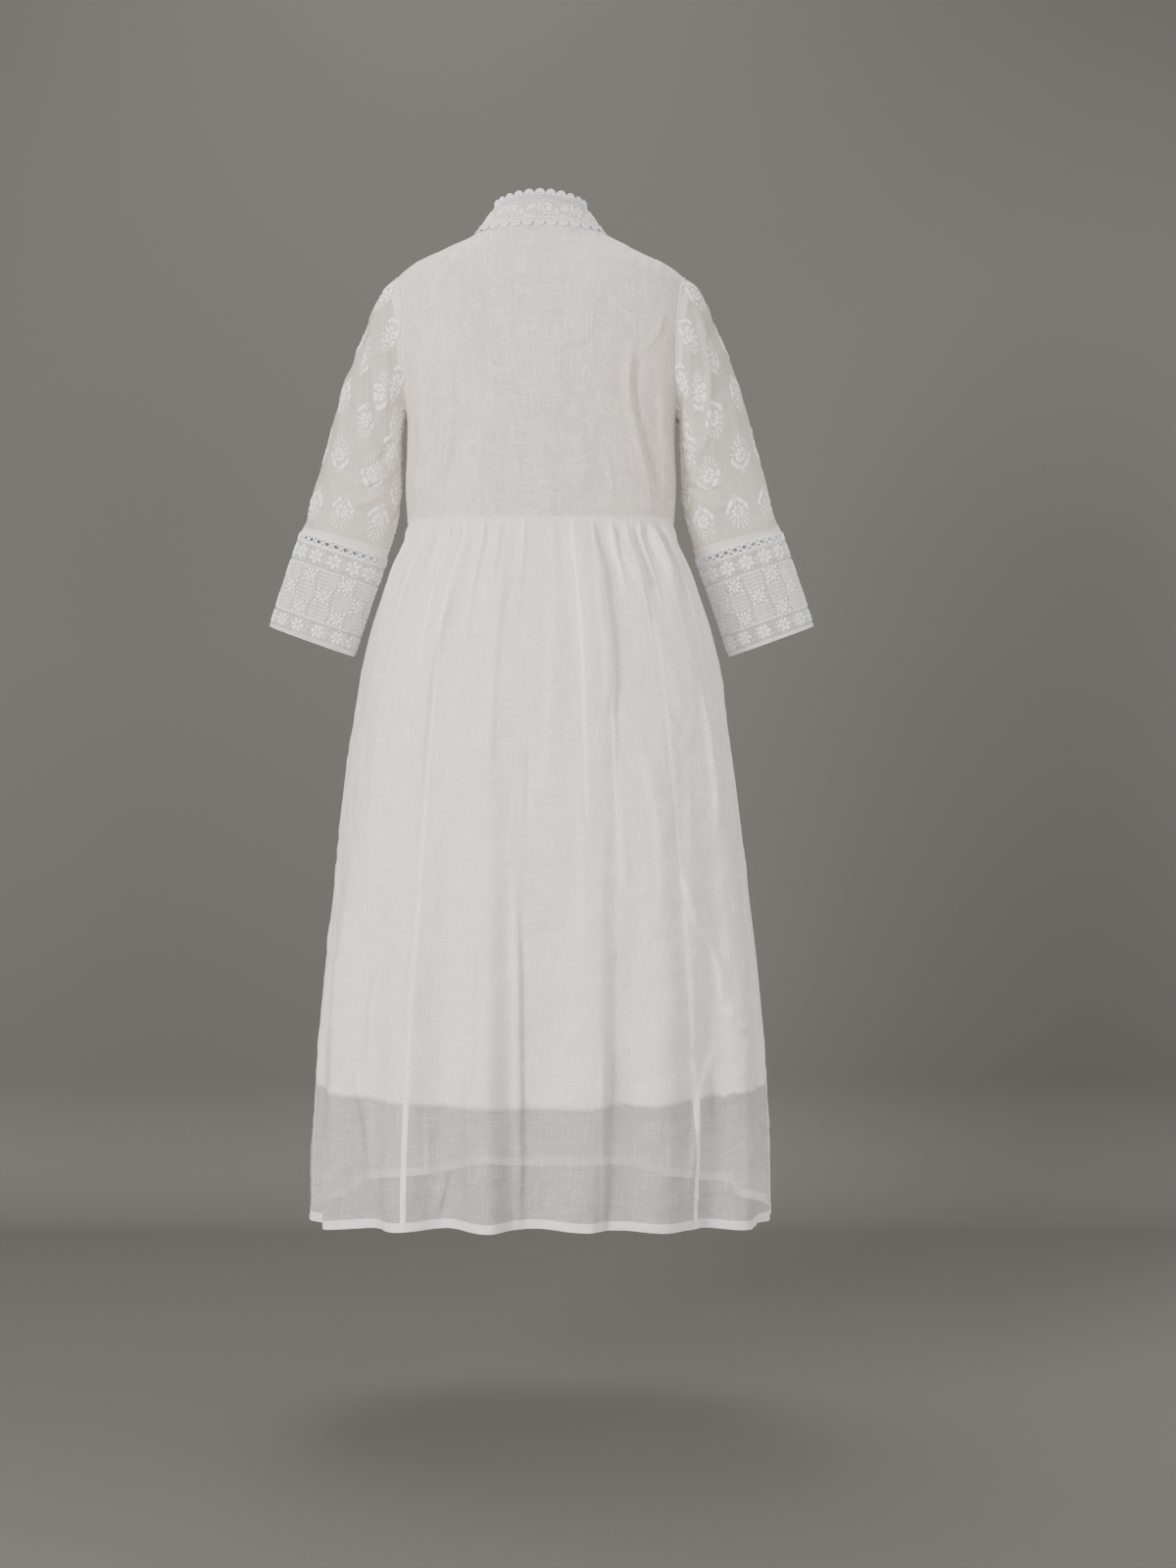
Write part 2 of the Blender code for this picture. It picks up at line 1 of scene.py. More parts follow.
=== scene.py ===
import math
import bpy
import numpy as np
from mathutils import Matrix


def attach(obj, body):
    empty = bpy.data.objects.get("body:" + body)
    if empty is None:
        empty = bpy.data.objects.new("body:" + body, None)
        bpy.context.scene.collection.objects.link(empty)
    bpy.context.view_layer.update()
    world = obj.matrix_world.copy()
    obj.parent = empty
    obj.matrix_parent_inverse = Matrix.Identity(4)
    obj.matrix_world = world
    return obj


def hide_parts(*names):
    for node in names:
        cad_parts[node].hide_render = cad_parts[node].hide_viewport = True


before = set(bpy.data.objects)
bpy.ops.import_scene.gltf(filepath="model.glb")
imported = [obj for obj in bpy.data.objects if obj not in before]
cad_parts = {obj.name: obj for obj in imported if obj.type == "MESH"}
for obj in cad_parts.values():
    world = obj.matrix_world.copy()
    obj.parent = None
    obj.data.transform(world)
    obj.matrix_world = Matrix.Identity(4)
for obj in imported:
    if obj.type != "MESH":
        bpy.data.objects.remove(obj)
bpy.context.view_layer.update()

# Metres, +Z up. The gown's front faces -Y and the wearer's right is -X. Angles round the body are in
# degrees from the centre back, growing towards the wearer's right.

body = {
    "z": (-0.354, -0.310, -0.270, -0.230, -0.190, -0.150, -0.110,
          -0.080, -0.057, -0.039, -0.027, 0.0, 0.012),
    "half": (0.1630, 0.1655, 0.1640, 0.1650, 0.1725, 0.1815, 0.1870,
             0.1855, 0.1745, 0.1500, 0.1215, 0.0735, 0.0640),
    "back": (0.0960, 0.1000, 0.1045, 0.1080, 0.1090, 0.1070, 0.1000,
             0.0930, 0.0865, 0.0795, 0.0745, 0.0630, 0.0575),
    "front": (0.0990, 0.1110, 0.1210, 0.1210, 0.1140, 0.1030, 0.0910,
              0.0810, 0.0735, 0.0680, 0.0640, 0.0560, 0.0540),
    "roundness": 2.3,  # 2 is an ellipse
    "waist": -0.354,
    "underarm": -0.230,
    "neckHalf": 0.0735,
    "neckRise": 0.004,
    "neckDrop": 0.066,
}
armhole = {
    "z": (-0.230, -0.200, -0.150, -0.110, -0.080, -0.057),
    "half": (0.1650, 0.1640, 0.1630, 0.1645, 0.1685, 0.1745),
    "gap": 0.0005,
}


# --- shapes ---

def eased(table, column, at, key="z"):
    places = np.array(table[key])
    values = np.array(table[column])
    slopes = np.gradient(values, places)
    at = np.clip(at, places[0], places[-1])
    low = np.clip(np.searchsorted(places, at) - 1, 0, len(places) - 2)
    step = places[low + 1] - places[low]
    t = (at - places[low]) / step
    start = (1 + 2 * t) * (1 - t) ** 2 * values[low] + t * (1 - t) ** 2 * step * slopes[low]
    end = t * t * (3 - 2 * t) * values[low + 1] + t * t * (t - 1) * step * slopes[low + 1]
    return start + end


def smoothStep(t):
    t = np.clip(t, 0.0, 1.0)
    return t * t * (3 - 2 * t)


def unit(vectors):
    return vectors / np.maximum(np.linalg.norm(vectors, axis=-1, keepdims=True), 1e-12)


def turned(angle):
    return (angle + 180) % 360 - 180


def squared(share):
    return np.sign(share) * np.abs(share) ** (2 / body["roundness"])


def hump(distance, left, right):
    share = np.where(distance < 0, -distance / left, distance / right)
    return np.where(share < 1, 0.5 * (1 + np.cos(np.pi * np.minimum(share, 1))), 0.0)


def softNoise(u, v, size, seed):
    # smooth hills and hollows, from -1 to 1, about this size across
    rng = np.random.default_rng(seed)
    cells = rng.uniform(-1, 1, (64, 64))
    a, b = u / size + 17.3, v / size + 9.1
    i, j = np.floor(a).astype(int), np.floor(b).astype(int)
    s, t = smoothStep(a - i), smoothStep(b - j)
    i0, i1, j0, j1 = i % 64, (i + 1) % 64, j % 64, (j + 1) % 64
    top = cells[i0, j0] * (1 - s) + cells[i1, j0] * s
    low = cells[i0, j1] * (1 - s) + cells[i1, j1] * s
    return top * (1 - t) + low * t


def runAlong(path):
    # how far along a path each of its points lies
    return np.concatenate([[0], np.cumsum(np.linalg.norm(np.diff(path, axis=0), axis=1))])


def densePath(points, step=0.0015):
    # a smooth curve through the points
    points = np.array(points, float)
    run = np.concatenate([[0], np.cumsum(np.linalg.norm(np.diff(points, axis=0), axis=1))])
    table = {"run": run, **{str(k): points[:, k] for k in range(points.shape[1])}}
    at = np.linspace(0, run[-1], max(int(run[-1] / step), 8))
    if len(points) == 2:
        return points[0] + (at / run[-1])[:, None] * (points[1] - points[0]), at / run[-1]
    return np.stack([eased(table, str(k), at, "run") for k in range(points.shape[1])], 1), at / run[-1]


def creaseLift(x, z, creases):
    # how far creases lift the cloth. Each row is a path of (x, z) points, a width, a height (down if
    # negative) and a lean, how many times wider the crease is on its outer side
    total = np.zeros(x.shape)
    for corners, wide, high, lean in creases:
        path, share = densePath(corners)
        reach = wide * 2.6 * lean
        near = (
            (x > path[:, 0].min() - reach) & (x < path[:, 0].max() + reach)
            & (z > path[:, 1].min() - reach) & (z < path[:, 1].max() + reach)
        )
        if not near.any():
            continue
        gap = np.hypot(x[near][:, None] - path[:, 0], z[near][:, None] - path[:, 1])
        closest = gap.argmin(1)
        taper = smoothStep(share[closest] / 0.25) * smoothStep((1 - share[closest]) / 0.25)
        outer = np.abs(x[near]) > np.abs(path[closest, 0])
        slope = wide * np.where(outer, lean, 1.0)
        total[near] += high * taper * np.exp(-((gap.min(1) / slope) ** 2))
    return total


def gridNormals(points, around=False):
    down = np.gradient(points, axis=0)
    if around:
        across = np.roll(points, -1, axis=1) - np.roll(points, 1, axis=1)
    else:
        across = np.gradient(points, axis=1)
    return unit(np.cross(across, down))


def outNormals(points, centre):
    normals = gridNormals(points)
    return normals * np.where(np.sum(normals * (points - centre), axis=-1).mean() < 0, -1, 1)


def link(name, mesh):
    piece = bpy.data.objects.new(name, mesh)
    bpy.context.scene.collection.objects.link(piece)
    return piece


def cloth(name, points, material, centre, around=False, leftOut=None):
    # a sheet through a grid of points; its UVs are metres along the cloth
    rows, columns = points.shape[:2]
    ring = np.concatenate([points, points[:, :1]], axis=1) if around else points
    across = np.linalg.norm(np.diff(ring, axis=1), axis=-1)
    down = np.linalg.norm(np.diff(ring, axis=0), axis=-1)
    u = np.concatenate([np.zeros((rows, 1)), np.cumsum(across, axis=1)], axis=1)
    u = u - u.mean(axis=1, keepdims=True)
    v = np.concatenate([np.zeros((1, ring.shape[1])), np.cumsum(down, axis=0)], axis=0)
    r, c = np.meshgrid(np.arange(rows - 1), np.arange(ring.shape[1] - 1), indexing="ij")
    r, c = r.ravel(), c.ravel()
    if leftOut is not None:
        keep = ~leftOut[r, c]
        r, c = r[keep], c[keep]
    corners = [(r, c), (r, c + 1), (r + 1, c + 1), (r + 1, c)]
    normals = gridNormals(points, around)
    away = np.sum(normals * (points - centre), axis=-1).mean()
    first = np.cross(points[0, 1] - points[0, 0], points[1, 0] - points[0, 0])
    if np.dot(first, normals[0, 0]) * away < 0:
        corners = corners[::-1]
    quads = np.stack([cr * columns + cc % columns for cr, cc in corners], 1)
    used, index = np.unique(quads, return_inverse=True)
    mesh = bpy.data.meshes.new(name)
    mesh.from_pydata(points.reshape(-1, 3)[used].tolist(), [], index.reshape(quads.shape).tolist())
    uvs = np.stack([np.stack([u[cr, cc], v[cr, cc]], 1) for cr, cc in corners], 1)
    mesh.uv_layers.new(name="ClothUV").data.foreach_set("uv", uvs.astype(np.float32).ravel())
    mesh.shade_smooth()
    mesh.materials.append(material)
    return link(name, mesh)


# --- materials ---

def nodeMaterial(name, colour, roughness, sheen):
    material = bpy.data.materials.new(name)
    material.use_nodes = True
    nodes = material.node_tree.nodes
    shader = nodes["Principled BSDF"]
    shader.inputs["Base Color"].default_value = (*colour, 1)
    shader.inputs["Roughness"].default_value = roughness
    shader.inputs["Sheen Weight"].default_value = sheen
    shader.inputs["Sheen Roughness"].default_value = 0.4
    shader.inputs["Specular IOR Level"].default_value = 0.25
    return material, nodes, material.node_tree.links, shader


def mathNode(nodes, links, operation, first, second=None, third=None):
    node = nodes.new("ShaderNodeMath")
    node.operation = operation
    for socket, value in zip(node.inputs, (first, second, third)):
        if value is None:
            continue
        if isinstance(value, (int, float)):
            socket.default_value = value
        else:
            links.new(value, socket)
    return node.outputs[0]


def clamped(nodes, links, first, factor, more):
    result = mathNode(nodes, links, "MULTIPLY_ADD", first, factor, more)
    result.node.use_clamp = True
    return result


def stretchedNoise(nodes, links, source, scale, detail):
    mapping = nodes.new("ShaderNodeMapping")
    mapping.inputs["Scale"].default_value = scale
    links.new(source, mapping.inputs["Vector"])
    noise = nodes.new("ShaderNodeTexNoise")
    noise.inputs["Scale"].default_value = 1
    noise.inputs["Detail"].default_value = detail
    noise.inputs["Roughness"].default_value = 0.6
    links.new(mapping.outputs[0], noise.inputs["Vector"])
    return noise.outputs["Fac"]


def shaded(nodes, links, shader, value, look, low, high):
    # from the cloth's darker shade at the low value to its full colour at the high one
    ramp = nodes.new("ShaderNodeValToRGB")
    darker = [channel * look["dark"] for channel in look["colour"]]
    for element, position, colour in zip(ramp.color_ramp.elements, (low, high), (darker, look["colour"])):
        element.position = position
        element.color = (*colour, 1)
    links.new(value, ramp.inputs[0])
    links.new(ramp.outputs[0], shader.inputs["Base Color"])


def raised(nodes, links, shader, height, strength, distance):
    bump = nodes.new("ShaderNodeBump")
    bump.inputs["Strength"].default_value = strength
    bump.inputs["Distance"].default_value = distance
    links.new(height, bump.inputs["Height"])
    links.new(bump.outputs[0], shader.inputs["Normal"])


slubRise, slubFrom = 5.0, 0.55  # only the noise's highest stretches make a slub
hemRise = 160.0  # how sharply the lining's hem ends


def woven(name, look):
    # plain-woven voile: fine threads, thicker slubs here and there both ways, and how much it lets through
    material, nodes, links, shader = nodeMaterial(name, look["colour"], look["roughness"], look["sheen"])
    place = nodes.new("ShaderNodeUVMap")
    place.uv_map = "ClothUV"
    slubs = []
    for scale in ((look["slub"], 24, 1), (30, 0.9 * look["slub"], 1)):
        field = stretchedNoise(nodes, links, place.outputs[0], scale, 1)
        slubs.append(clamped(nodes, links, field, slubRise, -slubFrom * slubRise))
    slub = mathNode(nodes, links, "MAXIMUM", *slubs)
    fineWarp = stretchedNoise(nodes, links, place.outputs[0], (look["fine"], 70, 1), 2)
    fineWeft = stretchedNoise(nodes, links, place.outputs[0], (70, look["fine"], 1), 2)
    cloud = stretchedNoise(nodes, links, place.outputs[0], (15, 9, 1), 3)
    fine = mathNode(nodes, links, "MULTIPLY", mathNode(nodes, links, "ADD", fineWarp, fineWeft), 0.5)
    level = 0.62 - 0.5 * look["grain"] - 0.5 * look["cloud"]
    grained = mathNode(nodes, links, "MULTIPLY_ADD", fine, look["grain"], level)
    clouded = mathNode(nodes, links, "MULTIPLY_ADD", cloud, look["cloud"], grained)
    shade = mathNode(nodes, links, "MULTIPLY_ADD", slub, look["slubShare"], clouded)
    shaded(nodes, links, shader, shade, look, 0.0, 1.0)
    thick = mathNode(nodes, links, "MULTIPLY_ADD", slub, 0.3, fine)
    solidLevel = look["solid"] - 0.5 * look["uneven"]
    solid = mathNode(nodes, links, "MULTIPLY_ADD", thick, look["uneven"], solidLevel)
    if "lined" in look:
        # two layers lie together down to the lining's hem
        fall, more = look["lined"]
        separate = nodes.new("ShaderNodeSeparateXYZ")
        links.new(place.outputs[0], separate.inputs[0])
        over = clamped(nodes, links, separate.outputs[1], -hemRise, hemRise * fall)
        solid = mathNode(nodes, links, "MULTIPLY_ADD", over, more, solid)
    solid.node.use_clamp = True
    links.new(solid, shader.inputs["Alpha"])
    raised(nodes, links, shader, thick, look["bump"], 0.0004)
    return material


def threaded(name, look):
    # thread laid by hand: satin stitch and crochet, with the ply's fine ridges
    material, nodes, links, shader = nodeMaterial(name, look["colour"], look["roughness"], look["sheen"])
    place = nodes.new("ShaderNodeTexCoord")
    fine = stretchedNoise(nodes, links, place.outputs["Object"], (look["grain"],) * 3, 2)
    shaded(nodes, links, shader, fine, look, 0.3, 0.6)
    raised(nodes, links, shader, fine, 0.5, 0.0003)
    return material


def netted(name, look):
    # machine net: round holes in staggered rows, cut out by the alpha
    material, nodes, links, shader = nodeMaterial(name, look["colour"], look["roughness"], look["sheen"])
    place = nodes.new("ShaderNodeUVMap")
    place.uv_map = "ClothUV"
    separate = nodes.new("ShaderNodeSeparateXYZ")
    links.new(place.outputs[0], separate.inputs[0])
    turns = 2 * math.pi / look["hole"]
    across = mathNode(nodes, links, "SINE", mathNode(nodes, links, "MULTIPLY", separate.outputs[0], turns))
    along = mathNode(nodes, links, "SINE", mathNode(nodes, links, "MULTIPLY", separate.outputs[1], turns))
    cells = mathNode(nodes, links, "MULTIPLY", across, along)
    solid = mathNode(nodes, links, "MULTIPLY_ADD", cells, -look["open"], look["solid"])
    solid.node.use_clamp = True
    links.new(solid, shader.inputs["Alpha"])
    return material


voile = {
    "colour": (0.98, 0.955, 0.912), "dark": 0.83, "roughness": 0.85, "sheen": 0.3, "slub": 520, "fine": 1500,
    "grain": 1.6, "cloud": 0.5, "slubShare": 0.22, "solid": 0.37, "uneven": 0.42, "bump": 0.8,
}
materials = {
    "skirt": woven("skirtVoile", {**voile, "lined": (0.709, 0.45)}),
    # the pleat voile is opaque for doubled cloth, and its colour is painted brighter than the skirt's as
    # painted highlight
    "pleat": woven("pleatVoilePaintedHighlight", {**voile, "colour": (0.99, 0.97, 0.935), "dark": 0.90, "solid": 1.0}),
    "bodice": woven("bodiceVoile", {**voile, "colour": (0.885, 0.78, 0.713), "solid": 0.93, "dark": 0.60,
                                    "slubShare": 0.50, "grain": 2.4, "cloud": 0.9, "bump": 0.9}),
    "lining": woven("liningVoile", {**voile, "colour": (0.96, 0.945, 0.91), "solid": 0.96}),
    "hem": woven("hemTurning", {**voile, "colour": (0.87, 0.855, 0.82), "solid": 1.1, "dark": 0.86}),
    "sleeve": woven("sleeveOrganza", {**voile, "colour": (1.0, 0.905, 0.80), "solid": 0.48, "uneven": 0.30,
                                      "sheen": 0.6, "roughness": 0.55, "dark": 0.84}),
    "net": netted("cuffNet", {"colour": (0.88, 0.865, 0.83), "roughness": 0.85, "sheen": 0.1,
                              "hole": 0.0011, "open": 0.34, "solid": 0.34}),
    "collar": woven("collarCloth", {**voile, "colour": (0.58, 0.57, 0.545), "solid": 1.2, "dark": 0.84}),
    "sleeveTurning": woven("sleeveTurning", {**voile, "colour": (0.93, 0.88, 0.82), "solid": 0.80}),
    "satin": threaded("satinStitch", {"colour": (0.985, 0.98, 0.965), "roughness": 0.5, "sheen": 0.3,
                                      "grain": 2500, "dark": 0.84}),
    "crochet": threaded("crochetThread", {"colour": (0.94, 0.93, 0.99), "roughness": 0.75, "sheen": 0.2,
                                          "grain": 1800, "dark": 0.84}),
    "cream": threaded("sewingThread", {"colour": (0.95, 0.93, 0.89), "roughness": 0.7, "sheen": 0.2,
                                       "grain": 2500, "dark": 0.9}),
}
print("materials made")


# --- Geometry Nodes ---

def newTree(name, inputs):
    tree = bpy.data.node_groups.new(name, "GeometryNodeTree")
    tree.interface.new_socket("Geometry", in_out="INPUT", socket_type="NodeSocketGeometry")
    for label, kind, value in inputs:
        socket = tree.interface.new_socket(label, in_out="INPUT", socket_type=kind)
        if value is not None:
            socket.default_value = value
    tree.interface.new_socket("Geometry", in_out="OUTPUT", socket_type="NodeSocketGeometry")
    return tree, tree.nodes.new("NodeGroupInput"), tree.nodes.new("NodeGroupOutput")


def namedVector(tree, name):
    node = tree.nodes.new("GeometryNodeInputNamedAttribute")
    node.data_type = "FLOAT_VECTOR"
    node.inputs["Name"].default_value = name
    return node.outputs["Attribute"]


def facingRotation(tree, across, out):
    node = tree.nodes.new("FunctionNodeAxesToRotation")
    node.primary_axis = "X"
    node.secondary_axis = "Z"
    tree.links.new(across, node.inputs["Primary Axis"])
    tree.links.new(out, node.inputs["Secondary Axis"])
    return node.outputs[0]


def finishTree(tree, given, result, output):
    realize = tree.nodes.new("GeometryNodeRealizeInstances")
    paint = tree.nodes.new("GeometryNodeSetMaterial")
    tree.links.new(result, realize.inputs[0])
    smooth = tree.nodes.new("GeometryNodeSetShadeSmooth")
    tree.links.new(realize.outputs[0], smooth.inputs[0])
    tree.links.new(smooth.outputs[0], paint.inputs["Geometry"])
    tree.links.new(given.outputs["Material"], paint.inputs["Material"])
    tree.links.new(paint.outputs[0], output.inputs[0])


def makeScatterTree():
    # sets a motif on every point, its X along "across", its Z along "out", sized by "grow"
    tree, given, output = newTree("scatterMotifs", [
        ("Motif", "NodeSocketObject", None), ("Size", "NodeSocketFloat", 1.0),
        ("Material", "NodeSocketMaterial", None)])
    points = tree.nodes.new("GeometryNodeMeshToPoints")
    info = tree.nodes.new("GeometryNodeObjectInfo")
    scale = tree.nodes.new("ShaderNodeVectorMath")
    scale.operation = "SCALE"
    setOn = tree.nodes.new("GeometryNodeInstanceOnPoints")
    links = tree.links
    links.new(given.outputs["Geometry"], points.inputs[0])
    links.new(given.outputs["Motif"], info.inputs["Object"])
    links.new(namedVector(tree, "grow"), scale.inputs[0])
    links.new(given.outputs["Size"], scale.inputs["Scale"])
    links.new(points.outputs[0], setOn.inputs["Points"])
    links.new(info.outputs["Geometry"], setOn.inputs["Instance"])
    facing = facingRotation(tree, namedVector(tree, "across"), namedVector(tree, "out"))
    links.new(facing, setOn.inputs["Rotation"])
    links.new(scale.outputs[0], setOn.inputs["Scale"])
    finishTree(tree, given, setOn.outputs[0], output)
    return tree


def makeEdgingTree():
    # repeats a motif along a path at an even spacing, its X along the path and its Z along "out"
    tree, given, output = newTree("edgingAlongPath", [
        ("Motif", "NodeSocketObject", None), ("Spacing", "NodeSocketFloat", 0.01),
        ("Material", "NodeSocketMaterial", None)])
    toCurve = tree.nodes.new("GeometryNodeMeshToCurve")
    resample = tree.nodes.new("GeometryNodeResampleCurve")
    resample.mode = "LENGTH"
    tangent = tree.nodes.new("GeometryNodeInputTangent")
    info = tree.nodes.new("GeometryNodeObjectInfo")
    setOn = tree.nodes.new("GeometryNodeInstanceOnPoints")
    links = tree.links
    links.new(given.outputs["Geometry"], toCurve.inputs[0])
    links.new(toCurve.outputs[0], resample.inputs["Curve"])
    links.new(given.outputs["Spacing"], resample.inputs["Length"])
    links.new(given.outputs["Motif"], info.inputs["Object"])
    links.new(resample.outputs[0], setOn.inputs["Points"])
    links.new(info.outputs["Geometry"], setOn.inputs["Instance"])
    links.new(facingRotation(tree, tangent.outputs[0], namedVector(tree, "out")), setOn.inputs["Rotation"])
    finishTree(tree, given, setOn.outputs[0], output)
    return tree


def makeCordTree():
    # a round cord along every path
    tree, given, output = newTree("cordAlongPath", [
        ("Radius", "NodeSocketFloat", 0.0005), ("Sides", "NodeSocketInt", 6),
        ("Material", "NodeSocketMaterial", None)])
    toCurve = tree.nodes.new("GeometryNodeMeshToCurve")
    profile = tree.nodes.new("GeometryNodeCurvePrimitiveCircle")
    toMesh = tree.nodes.new("GeometryNodeCurveToMesh")
    toMesh.inputs["Fill Caps"].default_value = True
    links = tree.links
    links.new(given.outputs["Geometry"], toCurve.inputs[0])
    links.new(given.outputs["Radius"], profile.inputs["Radius"])
    links.new(given.outputs["Sides"], profile.inputs["Resolution"])
    links.new(toCurve.outputs[0], toMesh.inputs["Curve"])
    links.new(profile.outputs[0], toMesh.inputs["Profile Curve"])
    finishTree(tree, given, toMesh.outputs[0], output)
    return tree


scatterTree = makeScatterTree()
edgingTree = makeEdgingTree()
cordTree = makeCordTree()


def grown(name, source, tree, values):
    # runs a tree on the source and keeps the result as a plain mesh
    modifier = source.modifiers.new("grow", "NODES")
    modifier.node_group = tree
    for item in tree.interface.items_tree:
        if item.in_out == "INPUT" and item.name in values:
            modifier[item.identifier] = values[item.name]
    bpy.context.view_layer.update()
    seen = source.evaluated_get(bpy.context.evaluated_depsgraph_get())
    mesh = bpy.data.meshes.new_from_object(seen)
    mesh.name = name
    source.modifiers.remove(modifier)
    old = source.data
    bpy.data.objects.remove(source)
    bpy.data.meshes.remove(old)
    return link(name, mesh)


def pointCloud(places, across, out, grow):
    mesh = bpy.data.meshes.new("places")
    mesh.from_pydata(np.asarray(places).tolist(), [], [])
    for name, values in (("across", across), ("out", out), ("grow", grow)):
        attribute = mesh.attributes.new(name, "FLOAT_VECTOR", "POINT")
        attribute.data.foreach_set("vector", np.asarray(values, np.float32).ravel())
    return link("places", mesh)


def pathMesh(paths, outs=None, closed=False):
    places, edges, ways = [], [], []
    for number, path in enumerate(paths):
        start = len(places)
        places += np.asarray(path).tolist()
        if outs is not None:
            ways += np.asarray(outs[number]).tolist()
        last = len(path) if closed else len(path) - 1
        edges += [(start + k, start + (k + 1) % len(path)) for k in range(last)]
    mesh = bpy.data.meshes.new("paths")
    mesh.from_pydata(places, edges, [])
    if outs is not None:
        attribute = mesh.attributes.new("out", "FLOAT_VECTOR", "POINT")
        attribute.data.foreach_set("vector", np.asarray(ways, np.float32).ravel())
    return link("paths", mesh)


def cords(name, paths, radius, material, sides=6, closed=False):
    source = pathMesh(paths, closed=closed)
    return grown(name, source, cordTree, {"Radius": radius, "Sides": sides, "Material": material})


def motifMesh(name, parts):
    # joins (points, faces) parts into one hidden motif
    places, faces = [], []
    for points, quads in parts:
        start = len(places)
        places += points.tolist()
        faces += [tuple(start + k for k in quad) for quad in quads]
    mesh = bpy.data.meshes.new(name)
    mesh.from_pydata(places, [], faces)
    mesh.shade_smooth()
    piece = link(name, mesh)
    piece.hide_render = True
    return piece


def blob(size, centre=(0, 0, 0), around=8, rings=4, turn=0.0):
    # a pad of satin stitch: an egg lying on the cloth, long along X
    half = np.linspace(0, math.pi, rings + 1)[1:-1]
    turns = np.linspace(0, 2 * math.pi, around + 1)[:-1]
    points = [(-size[0], 0, 0)]
    for a in half:
        x, wide, high = -size[0] * math.cos(a), size[1] * math.sin(a), size[2] * math.sin(a)
        points += [(x, wide * math.cos(t), high * math.sin(t)) for t in turns]
    points.append((size[0], 0, 0))
    cosine, sine = math.cos(turn), math.sin(turn)
    spin = np.array([[cosine, sine, 0], [-sine, cosine, 0], [0, 0, 1]])
    points = np.array(points) @ spin + np.array(centre)
    faces = [(0, 1 + (k + 1) % around, 1 + k) for k in range(around)]
    for ring in range(rings - 2):
        base = 1 + ring * around
        for k in range(around):
            n = (k + 1) % around
            faces.append((base + k, base + n, base + around + n, base + around + k))
    base, last = 1 + (rings - 2) * around, len(points) - 1
    faces += [(last, base + k, base + (k + 1) % around) for k in range(around)]
    return points, faces


def hoop(radius, cord, centre=(0, 0, 0), around=12, sides=5, stretch=1.0, thick=1.0, arc=1.0):
    # a ring of cord lying on the cloth, or part of one
    closed = arc >= 1
    turns = np.linspace(0, 2 * math.pi * arc, around + 1)
    if closed:
        turns = turns[:-1]
    ring = np.linspace(0, 2 * math.pi, sides + 1)[:-1]
    points = []
    for t in turns:
        for s in ring:
            reach = radius + cord * math.cos(s)
            points.append((reach * math.cos(t) * stretch, reach * math.sin(t), cord * thick * math.sin(s)))
    points = np.array(points) + np.array(centre)
    count = len(turns)
    faces = []
    for k in range(count if closed else count - 1):
        n = (k + 1) % count
        for s in range(sides):
            m = (s + 1) % sides
            faces.append((k * sides + s, n * sides + s, n * sides + m, k * sides + m))
    if not closed:
        faces.append(tuple(range(sides)))
        faces.append(tuple((count - 1) * sides + s for s in range(sides))[::-1])
    return points, faces


def localFrame(surface, u, v, step=1e-4):
    # places on a surface, with the way across, the way along, the way out, and metres per unit of u and v
    here = surface(u, v)
    alongU = (surface(u + step, v) - surface(u - step, v)) / (2 * step)
    alongV = (surface(u, v + step) - surface(u, v - step)) / (2 * step)
    metresU = np.linalg.norm(alongU, axis=-1)
    metresV = np.linalg.norm(alongV, axis=-1)
    return here, unit(alongU), unit(alongV), unit(np.cross(alongU, alongV)), metresU, metresV


def charted(surface, centres, chart, outSign=1.0, lift=0.0003):
    # lays a chart of (x, y, turn, long, wide, high) rows at each (u, v, flip) centre on the surface
    rows = {"place": [], "across": [], "out": [], "grow": []}
    chart = np.array(chart, float)
    for u, v, flip in centres:
        _, _, _, _, metresU, metresV = localFrame(surface, np.array([u]), np.array([v]))
        cosine, sine = math.cos(flip), math.sin(flip)
        x = chart[:, 0] * cosine - chart[:, 1] * sine
        y = chart[:, 0] * sine + chart[:, 1] * cosine
        here, wayU, wayV, out, _, _ = localFrame(surface, u + x / metresU[0], v + y / metresV[0])
        out = out * outSign
        turn = (chart[:, 2] + flip)[:, None]
        rows["place"].append(here + lift * out)
        rows["across"].append(wayU * np.cos(turn) + wayV * np.sin(turn))
        rows["out"].append(out)
        rows["grow"].append(chart[:, 3:6])
    return [np.concatenate(rows[key]) for key in ("place", "across", "out", "grow")]


# --- camera, floor and lights ---

stage = {
    "eye": (-0.058, 3.0, -0.533), "lens": 55.7, "down": 2.75,
    "floor": -1.48, "wall": -1.25, "corner": 0.22, "reach": 4.5, "top": 3.0,
    "grey": (0.128, 0.123, 0.113),
    # painted shade on the backdrop: its grey is painted darker towards the top
    "paintedTopShade": (-0.5, 0.7, 1.0, 0.73),  # from this height to that one, and the grey's share at each
    "air": (1.0, 0.995, 0.985), "airStrength": 0.52,
    # each lamp: its place, what it points at, its size, its power and its colour
    "lamps": {
        "keyLight": ((2.2, 2.7, 0.2), (0, 0, -0.75), 1.2, 165, (1.0, 0.99, 0.97)),
        "fillLight": ((-1.7, 3.0, -0.1), (0, 0, -0.8), 1.4, 38, (1.0, 0.995, 0.98)),
        "frontLight": ((0.2, -0.50, 1.5), (0, 0.0, -1.4), 1.0, 32, (1.0, 1.0, 1.0)),
        "wallLight": ((-2.0, -0.1, -0.3), (-0.4, -1.25, -1.0), 1.5, 22, (1.0, 1.0, 1.0)),
    },
}
camera = bpy.data.objects.new("camera", bpy.data.cameras.new("camera"))
bpy.context.scene.collection.objects.link(camera)
camera.data.lens = stage["lens"]
camera.location = stage["eye"]
camera.rotation_euler = (math.radians(90 - stage["down"]), 0, math.pi)
bpy.context.scene.camera = camera

